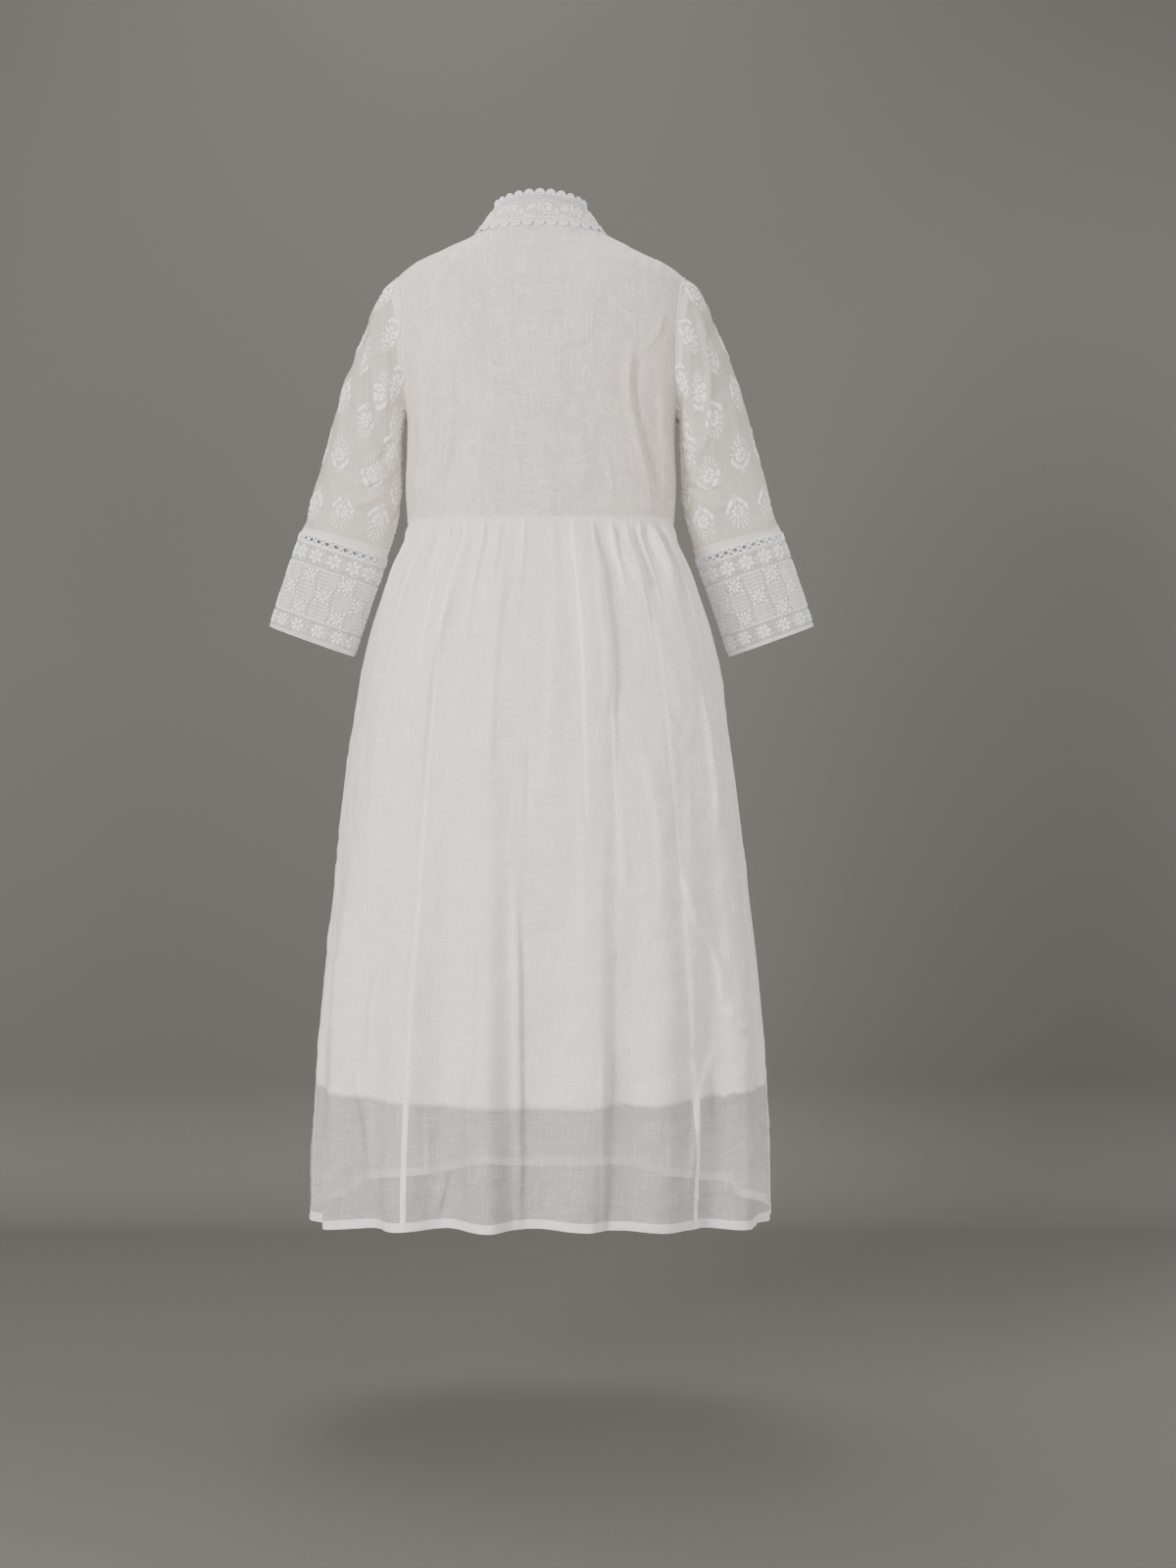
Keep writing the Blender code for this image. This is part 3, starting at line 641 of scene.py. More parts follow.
sweep = [(stage["reach"], stage["floor"])]
for degree in range(0, 91, 6):
    angle = math.radians(degree)
    sweep.append((stage["wall"] + stage["corner"] * (1 - math.sin(angle)),
                  stage["floor"] + stage["corner"] * (1 - math.cos(angle))))
sweep.append((stage["wall"], stage["top"]))
backdropMesh = bpy.data.meshes.new("backdrop")
backdropMesh.from_pydata([(x, y, z) for x in (-stage["reach"], stage["reach"]) for y, z in sweep], [],
                         [(k, k + 1, len(sweep) + k + 1, len(sweep) + k) for k in range(len(sweep) - 1)])
backdropMesh.shade_smooth()
backdrop = link("backdrop", backdropMesh)
if backdropMesh.polygons[0].normal.z < 0:
    backdropMesh.flip_normals()


def backdropPaint():
    # plain grey with painted shade that darkens it towards the top, and clear from behind so that the gown's
    # front can be seen
    material, nodes, links, shader = nodeMaterial("greyWithPaintedTopShade", stage["grey"], 0.9, 0.0)
    facing = nodes.new("ShaderNodeNewGeometry")
    links.new(mathNode(nodes, links, "SUBTRACT", 1.0, facing.outputs["Backfacing"]), shader.inputs["Alpha"])
    place = nodes.new("ShaderNodeTexCoord")
    parts = nodes.new("ShaderNodeSeparateXYZ")
    links.new(place.outputs["Object"], parts.inputs[0])
    # painted shade: the grey's share falls from full low down to less near the top
    paintedTopShade = nodes.new("ShaderNodeMapRange")
    for socket, value in zip(paintedTopShade.inputs[1:5], stage["paintedTopShade"]):
        socket.default_value = value
    links.new(parts.outputs["Z"], paintedTopShade.inputs["Value"])
    grey = nodes.new("ShaderNodeVectorMath")
    grey.operation = "SCALE"
    grey.inputs[0].default_value = stage["grey"]
    links.new(paintedTopShade.outputs["Result"], grey.inputs["Scale"])
    links.new(grey.outputs["Vector"], shader.inputs["Base Color"])
    return material


backdropMesh.materials.append(backdropPaint())


def areaLight(name, place, aim, size, power, colour):
    light = bpy.data.lights.new(name, "AREA")
    light.size = size
    light.energy = power
    light.color = colour
    lamp = bpy.data.objects.new(name, light)
    bpy.context.scene.collection.objects.link(lamp)
    lamp.location = place
    way = np.array(aim) - np.array(place)
    level = math.hypot(way[0], way[1])
    lamp.rotation_euler = (math.atan2(level, -way[2]), 0, math.atan2(way[1], way[0]) - math.pi / 2)


for name, lamp in stage["lamps"].items():
    areaLight(name, *lamp)
world = bpy.data.worlds.new("room")
world.use_nodes = True
world.node_tree.nodes["Background"].inputs["Color"].default_value = (*stage["air"], 1)
world.node_tree.nodes["Background"].inputs["Strength"].default_value = stage["airStrength"]
bpy.context.scene.world = world
print("stage set")


# --- bodice ---

def torsoDepth(x, z, side):
    half = eased(body, "half", z)
    rest = 1 - np.minimum(np.abs(x) / half, 1) ** body["roundness"]
    return eased(body, side, z) * rest ** (1 / body["roundness"])


def neckZ(x, side):
    share = 1 - np.minimum(np.abs(x) / body["neckHalf"], 1) ** 2
    return body["neckRise"] * share if side == "back" else -body["neckDrop"] * share**0.75


def shoulderZ(x):
    heights = np.linspace(armhole["z"][-1], 0.0, 60)
    return np.interp(-np.abs(x), -eased(body, "half", heights), heights)


def upperColumn(share, topZ, side, count):
    # one column of a bodice panel from the underarm's height to its top
    rise = 1 - (1 - np.linspace(0, 1, 400)) ** 3
    z = body["underarm"] + rise * (topZ - body["underarm"])
    edge = body["underarm"] + rise * (armhole["z"][-1] - body["underarm"])
    x = share * eased(armhole, "half", edge)
    y = torsoDepth(x, z, side)
    if abs(x[-1]) > body["neckHalf"] - 1e-6:
        y[-1] = 0
    if abs(share) > 1 - 1e-6:
        y[0] = 0
    run = np.concatenate([[0], np.cumsum(np.sqrt(np.diff(x) ** 2 + np.diff(y) ** 2 + np.diff(z) ** 2))])
    at = np.linspace(0, run[-1], count + 1)
    return np.stack([np.interp(at, run, values) for values in (x, y, z)], 1)


bodice = {
    "across": 168, "low": 60, "high": 100,
    "slitLength": 0.101, "slitTop": 0.0030, "slitFoot": 0.0008,
    "back": (
        (((0.013, -0.012), (0.011, -0.040)), 0.0018, -0.0012, 1.0),
        (((-0.028, -0.033), (-0.031, -0.060), (-0.030, -0.095)), 0.0019, -0.0016, 1.0),
        (((-0.001, -0.065), (-0.004, -0.115)), 0.0019, -0.0015, 1.0),
        (((0.031, -0.045), (0.036, -0.100), (0.033, -0.150)), 0.0022, 0.0014, 1.0),
        (((0.060, -0.090), (0.052, -0.170), (0.055, -0.240)), 0.0060, 0.0014, 1.0),
        (((-0.113, -0.130), (-0.106, -0.196), (-0.119, -0.269), (-0.141, -0.348)), 0.0046, 0.0038, 1.0),
        (((-0.121, -0.150), (-0.116, -0.205), (-0.130, -0.275), (-0.146, -0.335)), 0.0050, -0.0028, 1.0),
        (((-0.147, -0.185), (-0.146, -0.255), (-0.152, -0.345)), 0.0050, 0.0044, 1.0),
        (((-0.157, -0.300), (-0.158, -0.330), (-0.156, -0.352)), 0.0030, -0.0035, 1.0),
        (((-0.050, -0.344), (-0.095, -0.339), (-0.150, -0.345)), 0.0090, 0.0016, 1.0),
        (((-0.040, -0.200), (-0.050, -0.270), (-0.047, -0.340)), 0.0100, 0.0016, 1.0),
        (((-0.075, -0.260), (-0.085, -0.310), (-0.083, -0.350)), 0.0035, 0.0018, 1.0),
        (((-0.010, -0.290), (-0.013, -0.350)), 0.0040, 0.0012, 1.0),
        (((0.022, -0.240), (0.027, -0.300), (0.025, -0.348)), 0.0060, 0.0016, 1.0),
        (((0.113, -0.140), (0.104, -0.220), (0.115, -0.300), (0.132, -0.346)), 0.0050, 0.0034, 1.0),
        (((0.146, -0.200), (0.144, -0.270), (0.149, -0.340)), 0.0060, 0.0030, 1.0),
        (((0.080, -0.300), (0.087, -0.348)), 0.0045, 0.0020, 1.0),
        (((-0.150, -0.105), (-0.140, -0.135), (-0.120, -0.160)), 0.0040, 0.0018, 1.0),
        (((0.150, -0.110), (0.137, -0.140), (0.119, -0.168)), 0.0045, 0.0016, 1.0),
    ),
    "front": (
        (((-0.150, -0.215), (-0.120, -0.205), (-0.090, -0.215)), 0.0050, 0.0022, 1.0),
        (((0.152, -0.222), (0.122, -0.210), (0.088, -0.218)), 0.0060, 0.0020, 1.0),
        (((-0.140, -0.255), (-0.125, -0.300), (-0.128, -0.348)), 0.0050, 0.0034, 1.0),
        (((-0.090, -0.270), (-0.086, -0.310), (-0.088, -0.350)), 0.0040, 0.0026, 1.0),
        (((-0.030, -0.285), (-0.036, -0.350)), 0.0060, 0.0016, 1.0),
        (((0.030, -0.275), (0.040, -0.320), (0.038, -0.350)), 0.0050, 0.0020, 1.0),
        (((0.095, -0.265), (0.092, -0.315), (0.097, -0.350)), 0.0045, 0.0028, 1.0),
        (((0.143, -0.250), (0.130, -0.300), (0.133, -0.346)), 0.0055, 0.0032, 1.0),
        (((-0.150, -0.100), (-0.135, -0.135), (-0.110, -0.155)), 0.0050, 0.0018, 1.0),
        (((0.148, -0.105), (0.132, -0.140), (0.112, -0.166)), 0.0045, 0.0020, 1.0),
        (((-0.040, -0.090), (-0.043, -0.150), (-0.036, -0.200)), 0.0070, 0.0012, 1.0),
        (((0.046, -0.095), (0.041, -0.145)), 0.0050, 0.0012, 1.0),
    ),
}


def bodiceGrid(side):
    shares = squared(np.sin(np.radians(np.linspace(-90, 90, bodice["across"] + 1))))
    neck = body["neckHalf"] / armhole["half"][-1]
    for sign in (-1, 1):
        shares[np.abs(shares - sign * neck).argmin()] = sign * neck
    middle = len(shares) // 2
    if side == "front":
        shares = np.insert(shares, middle, 0.0)
    topX = shares * armhole["half"][-1]
    inNeck = np.abs(topX) <= body["neckHalf"] + 1e-6
    topZ = np.where(inNeck, neckZ(topX, side), shoulderZ(topX))
    rows = []
    for z in np.linspace(body["waist"], body["underarm"], bodice["low"] + 1)[:-1]:
        x = shares * eased(body, "half", z)
        rows.append(np.stack([x, torsoDepth(x, z, side), np.full(len(shares), z)], 1))
    upper = np.array([upperColumn(s, z, side, bodice["high"]) for s, z in zip(shares, topZ)]).swapaxes(0, 1)
    grid = np.concatenate([np.array(rows), upper])
    grid[..., 1] *= 1 if side == "back" else -1
    normals = outNormals(grid, np.array([0.0, 0.0, -0.25]))
    fromEdge = np.minimum(np.arange(grid.shape[1]), np.arange(grid.shape[1])[::-1]) / 6
    fromEnd = np.minimum(np.arange(len(grid)), np.arange(len(grid))[::-1]) / 5
    hold = smoothStep(fromEdge)[None, :] * smoothStep(fromEnd)[:, None]
    seed = 3 if side == "back" else 4
    x, z = grid[..., 0], grid[..., 2]
    lift = creaseLift(x, z, bodice[side])
    lift += 0.0012 * softNoise(x, 0.5 * z, 0.030, seed) + 0.00045 * softNoise(x, 0.4 * z, 0.009, seed + 10)
    grid = grid + (lift * hold)[..., None] * normals
    leftOut = None
    if side == "front":
        run = runAlong(grid[::-1, middle])[::-1]
        share = np.clip(run / bodice["slitLength"], 0, 1)
        gap = bodice["slitTop"] + share * (bodice["slitFoot"] - bodice["slitTop"])
        grid[:, middle, 0], grid[:, middle + 1, 0] = -gap, gap
        leftOut = np.zeros((len(grid) - 1, grid.shape[1] - 1), bool)
        leftOut[run[1:] < bodice["slitLength"], middle] = True
    return grid, leftOut


bodiceGrids = {}
for side in ("back", "front"):
    grid, leftOut = bodiceGrid(side)
    bodiceGrids[side] = grid
    piece = cloth(f"bodice{side.title()}", grid[::-1], materials["bodice"], np.array([0, 0, -0.25]),
                  leftOut=None if leftOut is None else leftOut[::-1])
    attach(piece, "root")
    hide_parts(f"{side}_bodice")
print("bodice made")


# --- skirt and lining ---

skirt = {
    "z": (-1.215, -1.115, -1.030, -0.920, -0.810, -0.730, -0.660,
          -0.605, -0.535, -0.485, -0.415, -0.375, -0.354),
    "half": (0.2850, 0.2830, 0.2780, 0.2690, 0.2560, 0.2465, 0.2375,
             0.2295, 0.2200, 0.2080, 0.1825, 0.1640, 0.1630),
    "back": (0.1760, 0.1720, 0.1680, 0.1640, 0.1600, 0.1560, 0.1510,
             0.1470, 0.1400, 0.1320, 0.1160, 0.1010, 0.0960),
    "front": (0.2000, 0.1930, 0.1860, 0.1780, 0.1690, 0.1610, 0.1530,
              0.1450, 0.1350, 0.1260, 0.1130, 0.1030, 0.0990),
    "hem": -1.214, "hemLift": 0.020, "across": 400, "down": 190, "turning": 0.011,
    # where each fold starts at the waist and ends at the hem, its spread each side, its depth and its top
    "folds": (
        (18, 9, 10, 5, 0.017, -0.42), (35, 27, 10, 10, 0.018, -0.52), (56, 43, 8, 9, -0.015, -0.60),
        (68, 56, 9, 9, 0.012, -0.62), (80, 73, 9, 8, -0.008, -0.70), (100, 101, 8, 8, 0.005, -0.62),
        (112, 114, 8, 9, -0.013, -0.66), (126, 130, 10, 9, 0.019, -0.50),
        (143, 147, 9, 9, -0.014, -0.58), (158, 163, 10, 9, 0.020, -0.46),
        (178, 179, 9, 8, -0.010, -0.64), (-163, -166, 8, 10, 0.017, -0.50),
        (-146, -149, 9, 9, -0.015, -0.60), (-128, -132, 10, 10, 0.018, -0.48),
        (-112, -115, 8, 8, -0.011, -0.68), (-100, -101, 8, 8, 0.005, -0.62),
        (-79, -73, 8, 9, -0.009, -0.66), (-66, -58, 9, 9, 0.014, -0.58),
        (-50, -43, 9, 8, -0.013, -0.62), (-36, -32, 8, 8, 0.013, -0.54),
        (-24, -20, 8, 7, -0.015, -0.60), (-12, -9, 8, 5, 0.022, -0.50), (-2, -1, 5, 7, -0.010, -0.66),
    ),
    # where each gather leaves the waist, its spread, its depth and where it ends
    "gathers": (
        (15, 8, 0.0068, -0.66), (34, 8, 0.0054, -0.56), (52, 8, 0.0068, -0.52), (69, 8, 0.0054, -0.50),
        (108, 9, 0.0061, -0.54), (128, 9, 0.0061, -0.60), (149, 9, 0.0068, -0.62),
        (171, 9, 0.0054, -0.58), (-168, 9, 0.0054, -0.60), (-147, 9, 0.0068, -0.58),
        (-126, 9, 0.0054, -0.62), (-107, 9, 0.0061, -0.52), (-70, 8, 0.0054, -0.50),
        (-50, 8, 0.0061, -0.56), (-31, 8, 0.0061, -0.58), (-12, 8, 0.0054, -0.60),
    ),
    "fine": (
        (28.3, 2.6, 0.0041, -0.46), (36, 2.8, 0.0046, -0.50), (44, 2.2, 0.0041, -0.47),
        (49, 2.0, -0.0032, -0.44), (53, 2.4, 0.0046, -0.49), (59, 2.0, -0.0035, -0.44),
        (64, 2.6, 0.0049, -0.52), (70, 2.0, 0.0035, -0.45), (75, 2.4, -0.0038, -0.46),
        (81, 2.6, 0.0041, -0.48), (4, 2.4, 0.0019, -0.47), (-5, 2.6, 0.0030, -0.52),
        (-14, 2.2, 0.0035, -0.47), (-21, 2.8, 0.0043, -0.55), (-30, 2.2, -0.0032, -0.45),
        (-38, 2.4, 0.0046, -0.50), (-47, 2.6, 0.0038, -0.47), (-56, 2.2, 0.0046, -0.53),
        (-63, 2.4, -0.0035, -0.46), (-72, 2.6, 0.0043, -0.49), (-82, 2.4, 0.0038, -0.47),
        (97, 2.4, 0.0041, -0.48), (105, 2.2, -0.0032, -0.45), (113, 2.6, 0.0046, -0.52),
        (124, 2.4, 0.0041, -0.47), (133, 2.8, 0.0046, -0.55), (142, 2.2, -0.0035, -0.45),
        (152, 2.6, 0.0043, -0.50), (163, 2.4, 0.0041, -0.47), (174, 2.6, 0.0046, -0.54),
        (-176, 2.2, 0.0038, -0.46), (-166, 2.8, 0.0043, -0.52), (-155, 2.4, -0.0035, -0.46),
        (-144, 2.6, 0.0046, -0.50), (-133, 2.2, 0.0038, -0.47), (-121, 2.8, 0.0046, -0.54),
        (-111, 2.2, -0.0032, -0.45), (-102, 2.6, 0.0043, -0.49), (-92, 2.2, 0.0035, -0.46),
    ),
    "panel": (10.8, 20.4, 0.0052, -0.74),  # the flat box pleat beside centre back
    # bands by the pleat, by the panels' seams and along the fine gathers' ridges, where the cloth is doubled
    # and is also painted brighter as painted highlight: from, to and how far down
    "doubledAndPaintedHighlight": {
        "back": ((18.4, 20.6, 0.52), (10.3, 11.2, 0.42), (-31.2, -29.5, 1.0), (38.0, 39.7, 1.0),
                 (27.6, 28.5, 0.10), (35.6, 36.5, 0.17), (43.6, 44.5, 0.12), (52.6, 53.5, 0.20),
                 (63.5, 64.4, 0.14), (74.6, 75.5, 0.18), (-5.4, -4.5, 0.08), (-21.4, -20.5, 0.15),
                 (-38.4, -37.5, 0.20), (-56.4, -55.5, 0.13), (-72.4, -71.5, 0.17)),
        "front": ((146.0, 147.7, 1.0), (210.3, 212.0, 1.0), (104.6, 105.5, 0.12), (112.6, 113.5, 0.18),
                  (132.6, 133.5, 0.14), (151.6, 152.5, 0.20), (173.6, 174.5, 0.11), (193.6, 194.5, 0.16),
                  (215.6, 216.5, 0.13), (238.6, 239.5, 0.19), (257.6, 258.5, 0.12)),
    },
    "backCreases": (
        (((-0.064, -0.360), (-0.071, -0.440), (-0.080, -0.525), (-0.079, -0.605)), 0.0034, 0.0041, 2.6),
        (((-0.086, -0.362), (-0.093, -0.405)), 0.0030, 0.0026, 1.0),
        (((-0.100, -0.392), (-0.126, -0.442)), 0.0030, 0.0034, 2.6),
        (((-0.131, -0.362), (-0.150, -0.400), (-0.160, -0.435)), 0.0029, 0.0041, 2.6),
        (((-0.145, -0.362), (-0.172, -0.412)), 0.0027, 0.0034, 2.6),
        (((-0.190, -0.545), (-0.200, -0.600), (-0.211, -0.690), (-0.216, -0.740)), 0.0032, 0.0048, 2.6),
        (((-0.143, -0.580), (-0.165, -0.614), (-0.183, -0.636)), 0.0030, 0.0034, 2.6),
        (((-0.164, -0.760), (-0.186, -0.835), (-0.210, -0.880), (-0.222, -0.945)), 0.0035, 0.0053, 2.6),
        (((-0.220, -0.940), (-0.238, -0.962), (-0.253, -0.976)), 0.0032, 0.0053, 2.6),
        (((-0.216, -0.975), (-0.191, -1.038), (-0.186, -1.078), (-0.175, -1.165)), 0.0034, 0.0051, 2.6),
        (((-0.210, -1.054), (-0.248, -1.044)), 0.0026, 0.0022, 1.0),
        (((-0.176, -1.164), (-0.215, -1.160), (-0.264, -1.148)), 0.0022, 0.0022, 1.0),
        (((-0.179, -1.158), (-0.223, -1.173)), 0.0020, -0.0016, 1.0),
        (((-0.268, -1.080), (-0.262, -1.110), (-0.268, -1.145)), 0.0048, 0.0057, 2.6),
        (((-0.075, -0.950), (-0.073, -1.060), (-0.075, -1.150), (-0.076, -1.215)), 0.0026, 0.0046, 2.6),
        (((0.026, -0.760), (0.024, -0.940), (0.023, -1.100), (0.022, -1.215)), 0.0026, 0.0053, 2.6),
        (((0.074, -0.800), (0.077, -0.980), (0.079, -1.200)), 0.0029, 0.0041, 2.6),
        (((0.088, -1.060), (0.104, -1.120), (0.124, -1.190)), 0.0032, 0.0048, 2.6),
        (((-0.100, -0.950), (-0.128, -1.000), (-0.150, -1.060)), 0.0072, 0.0057, 2.6),
        (((-0.020, -0.420), (-0.015, -0.560), (-0.005, -0.700)), 0.0056, 0.0028, 2.6),
        (((0.040, -0.400), (0.052, -0.520), (0.058, -0.680)), 0.0048, 0.0034, 2.6),
        (((0.100, -0.420), (0.128, -0.540), (0.140, -0.700)), 0.0048, 0.0041, 2.6),
        (((0.160, -0.450), (0.190, -0.600), (0.205, -0.780)), 0.0040, 0.0046, 2.6),
        (((0.180, -0.840), (0.205, -0.920), (0.212, -1.020)), 0.0040, 0.0048, 2.6),
        (((0.235, -0.990), (0.215, -1.080), (0.205, -1.170)), 0.0035, 0.0046, 2.6),
        (((-0.045, -0.640), (-0.055, -0.760), (-0.050, -0.880)), 0.0064, 0.0030, 2.6),
        (((-0.120, -0.620), (-0.140, -0.720), (-0.145, -0.840)), 0.0048, 0.0039, 2.6),
        (((0.010, -0.600), (0.014, -0.720)), 0.0030, -0.0022, 1.0),
    ),
    "frontCreases": (
        (((-0.060, -0.362), (-0.078, -0.480), (-0.083, -0.600)), 0.0036, 0.0041, 2.6),
        (((0.050, -0.362), (0.065, -0.460), (0.074, -0.640)), 0.0040, 0.0039, 2.6),
        (((-0.115, -0.370), (-0.150, -0.450), (-0.172, -0.560)), 0.0032, 0.0041, 2.6),
        (((0.120, -0.368), (0.152, -0.460), (0.168, -0.540)), 0.0036, 0.0039, 2.6),
        (((-0.190, -0.560), (-0.204, -0.680), (-0.214, -0.800)), 0.0036, 0.0048, 2.6),
        (((0.196, -0.600), (0.206, -0.740), (0.220, -0.860)), 0.0040, 0.0046, 2.6),
        (((-0.020, -0.600), (-0.028, -0.760), (-0.018, -0.900)), 0.0056, 0.0034, 2.6),
        (((0.112, -0.680), (0.132, -0.820), (0.130, -0.940)), 0.0052, 0.0041, 2.6),
        (((-0.130, -0.700), (-0.142, -0.860), (-0.160, -0.960)), 0.0040, 0.0046, 2.6),
        (((0.030, -0.880), (0.036, -1.040), (0.034, -1.190)), 0.0032, 0.0048, 2.6),
        (((-0.075, -0.900), (-0.085, -1.040), (-0.082, -1.195)), 0.0029, 0.0048, 2.6),
        (((0.178, -0.960), (0.190, -1.070), (0.184, -1.180)), 0.0036, 0.0051, 2.6),
        (((-0.196, -0.980), (-0.210, -1.080), (-0.204, -1.170)), 0.0036, 0.0046, 2.6),
        (((-0.160, -1.130), (-0.200, -1.118), (-0.238, -1.128)), 0.0026, 0.0022, 1.0),
        (((0.120, -1.110), (0.155, -1.122), (0.170, -1.150)), 0.0026, 0.0024, 1.0),
    ),
}
lining = {
    "z": (-1.052, -0.900, -0.700, -0.500, -0.400, -0.354),
    "inset": (0.0360, 0.0320, 0.0240, 0.0120, 0.0075, 0.0060),
    "hem": -1.052, "drop": 0.004, "across": 120, "down": 70, "turning": 0.010,
}


def axisOf(grid):
    # the points of the upright axis that are level with a grid's points
    return np.array([0.0, 0.0, 1.0]) * grid[..., 2:]


def roundSection(angle, z, ease):
    turn = np.radians(angle)
    behind = np.cos(turn) >= 0
    depth = np.where(behind, eased(skirt, "back", z), eased(skirt, "front", z))
    half = eased(skirt, "half", z)
    across = -squared(np.sin(turn))
    along = squared(np.cos(turn))
    power = body["roundness"] - 1
    outX = np.sign(across) * np.abs(across) ** power / half
    outY = np.sign(along) * np.abs(along) ** power / depth
    length = np.hypot(outX, outY)
    x = across * half + ease * outX / length
    y = along * depth + ease * outY / length
    return np.stack([x, y, z + 0 * turn], -1)


def skirtEase(angle, z):
    total = np.zeros(np.broadcast(angle, z).shape)
    waist, hem = body["waist"], skirt["hem"]
    fallen = np.clip((waist - z) / (waist - hem), 0, 1)
    for top, foot, left, right, depth, start in skirt["folds"]:
        opened = smoothStep((start - z) / (start - hem))
        total += depth * opened * hump(turned(angle - top - (foot - top) * fallen), left, right)
    for centre, spread, depth, end in skirt["gathers"] + skirt["fine"]:
        letOut = smoothStep((waist - 0.003 - z) / (0.03 if spread > 5 else 0.012))
        fade = 1 - smoothStep((waist - 0.03 - z) / (waist - 0.03 - end))
        drift = centre + (3.0 * fallen if spread < 5 else 0) * np.sign(centre)
        total += depth * letOut * fade * hump(turned(angle - drift), spread, spread)
    start, end, lift, foot = skirt["panel"]
    flat = smoothStep((angle - start) / 0.7) * smoothStep((end - angle) / 0.6)
    fade = 1 - smoothStep((-0.50 - z) / (-0.50 - foot))
    total += lift * flat * smoothStep((waist - 0.002 - z) / 0.01) * fade
    return total


def hemZ(angle):
    return skirt["hem"] + skirt["hemLift"] * np.cos(np.radians(angle)) ** 2


def panelAngles(side, across):
    start = -90 if side == "back" else 90
    return np.linspace(start, start + 180, across + 1)


def turnedFalls(count, length, turning):
    # rows down a panel, with a few in the hem's turning
    start = 1 - turning / length
    return np.concatenate([np.linspace(0, start, count - 4), np.linspace(start, 1, 5)[1:]])


def paintTurning(piece, rows, turning, material):
    # the hem's turning is two layers, so it is less sheer
    piece.data.materials.append(material)
    count = len(piece.data.polygons)
    index = np.zeros(count, np.int32)
    perRow = count // (rows - 1)
    index.reshape(rows - 1, perRow)[-turning:] = 1
    piece.data.polygons.foreach_set("material_index", index)


def paintBand(piece, rows, band, reach, slot):
    # a band of columns, over a stretch of rows, where more than one layer lies together
    index = np.zeros(len(piece.data.polygons), np.int32)
    piece.data.polygons.foreach_get("material_index", index)
    grid = index.reshape(rows - 1, -1)
    start, end = (int(round(share * grid.shape[1])) for share in band)
    grid[: int(reach * (rows - 1)), start:end] = slot
    piece.data.polygons.foreach_set("material_index", index)


def skirtGrid(side):
    falls = turnedFalls(skirt["down"], body["waist"] - skirt["hem"], skirt["turning"])
    angle, fall = np.meshgrid(panelAngles(side, skirt["across"]), falls)
    top = body["waist"] - 0.0003
    z = top + fall * (hemZ(angle) - top)
    points = roundSection(angle, z, skirtEase(angle, z))
    normals = outNormals(points, axisOf(points))
    x, seed = points[..., 0], 5 if side == "back" else 6
    low = smoothStep((-0.40 - z) / 0.2)
    lift = creaseLift(x, z, skirt[f"{side}Creases"])
    arc = np.radians(angle) * 0.22
    lift += (0.0026 * low * softNoise(arc, 0.35 * z, 0.045, seed)
             + 0.0010 * low * softNoise(arc, 0.5 * z, 0.016, seed + 10))
    lift += (0.0007 * low * softNoise(0.5 * arc, z, 0.012, seed + 20)
             + 0.0003 * softNoise(arc, z, 0.004, seed + 30))
    fromEdge = np.minimum(np.arange(points.shape[1]), np.arange(points.shape[1])[::-1]) / 5
    fromTop = np.arange(len(points)) / 4
    lift *= smoothStep(fromEdge)[None, :] * smoothStep(fromTop)[:, None]
    points = points + lift[..., None] * normals
    inTurning = fall > 1 - skirt["turning"] / (body["waist"] - skirt["hem"]) - 1e-6
    points = points + (inTurning * 0.0006)[..., None] * normals
    points[:, (0, -1), 1] = 0.00015 * (1 if side == "back" else -1)
    return points


def liningGrid(side):
    top = body["waist"] - lining["drop"]
    falls = turnedFalls(lining["down"], top - lining["hem"], lining["turning"])
    angle, fall = np.meshgrid(panelAngles(side, lining["across"]), falls)
    z = top + fall * (lining["hem"] - top)
    inset = eased(lining, "inset", z)
    ripple = smoothStep((-0.5 - z) / 0.5)
    seed = 7 if side == "back" else 8
    waves = (0.0040 * np.sin(np.radians(angle) * 9 + seed)
             + 0.0025 * softNoise(np.radians(angle) * 0.2, 0.3 * z, 0.05, seed))
    inset = inset + ripple * waves
    points = roundSection(angle, z, -inset)
    points[:, (0, -1), 1] = 0.00015 * (1 if side == "back" else -1)
    return points


skirtGrids = {}
liningGrids = {}
for side in ("back", "front"):
    skirtGrids[side] = skirtGrid(side)
    piece = cloth(f"skirt{side.title()}", skirtGrids[side], materials["skirt"], axisOf(skirtGrids[side]))
    paintTurning(piece, len(skirtGrids[side]), 4, materials["hem"])
    # the doubled bands take the pleat voile: opaque for doubled cloth, and painted brighter as painted
    # highlight
    piece.data.materials.append(materials["pleat"])
    first = panelAngles(side, skirt["across"])[0]
    for start, end, reach in skirt["doubledAndPaintedHighlight"][side]:
        paintBand(piece, len(skirtGrids[side]), ((start - first) / 180, (end - first) / 180), reach, 2)
    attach(piece, "root")
    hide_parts(f"{side}_skirt")
    liningGrids[side] = liningGrid(side)
    under = cloth(f"lining{side.title()}", liningGrids[side], materials["lining"], axisOf(liningGrids[side]))
    paintTurning(under, len(liningGrids[side]), 4, materials["hem"])
    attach(under, "root")
    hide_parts(f"{side}_lining")
print("skirt and lining made")


# --- sleeves ---

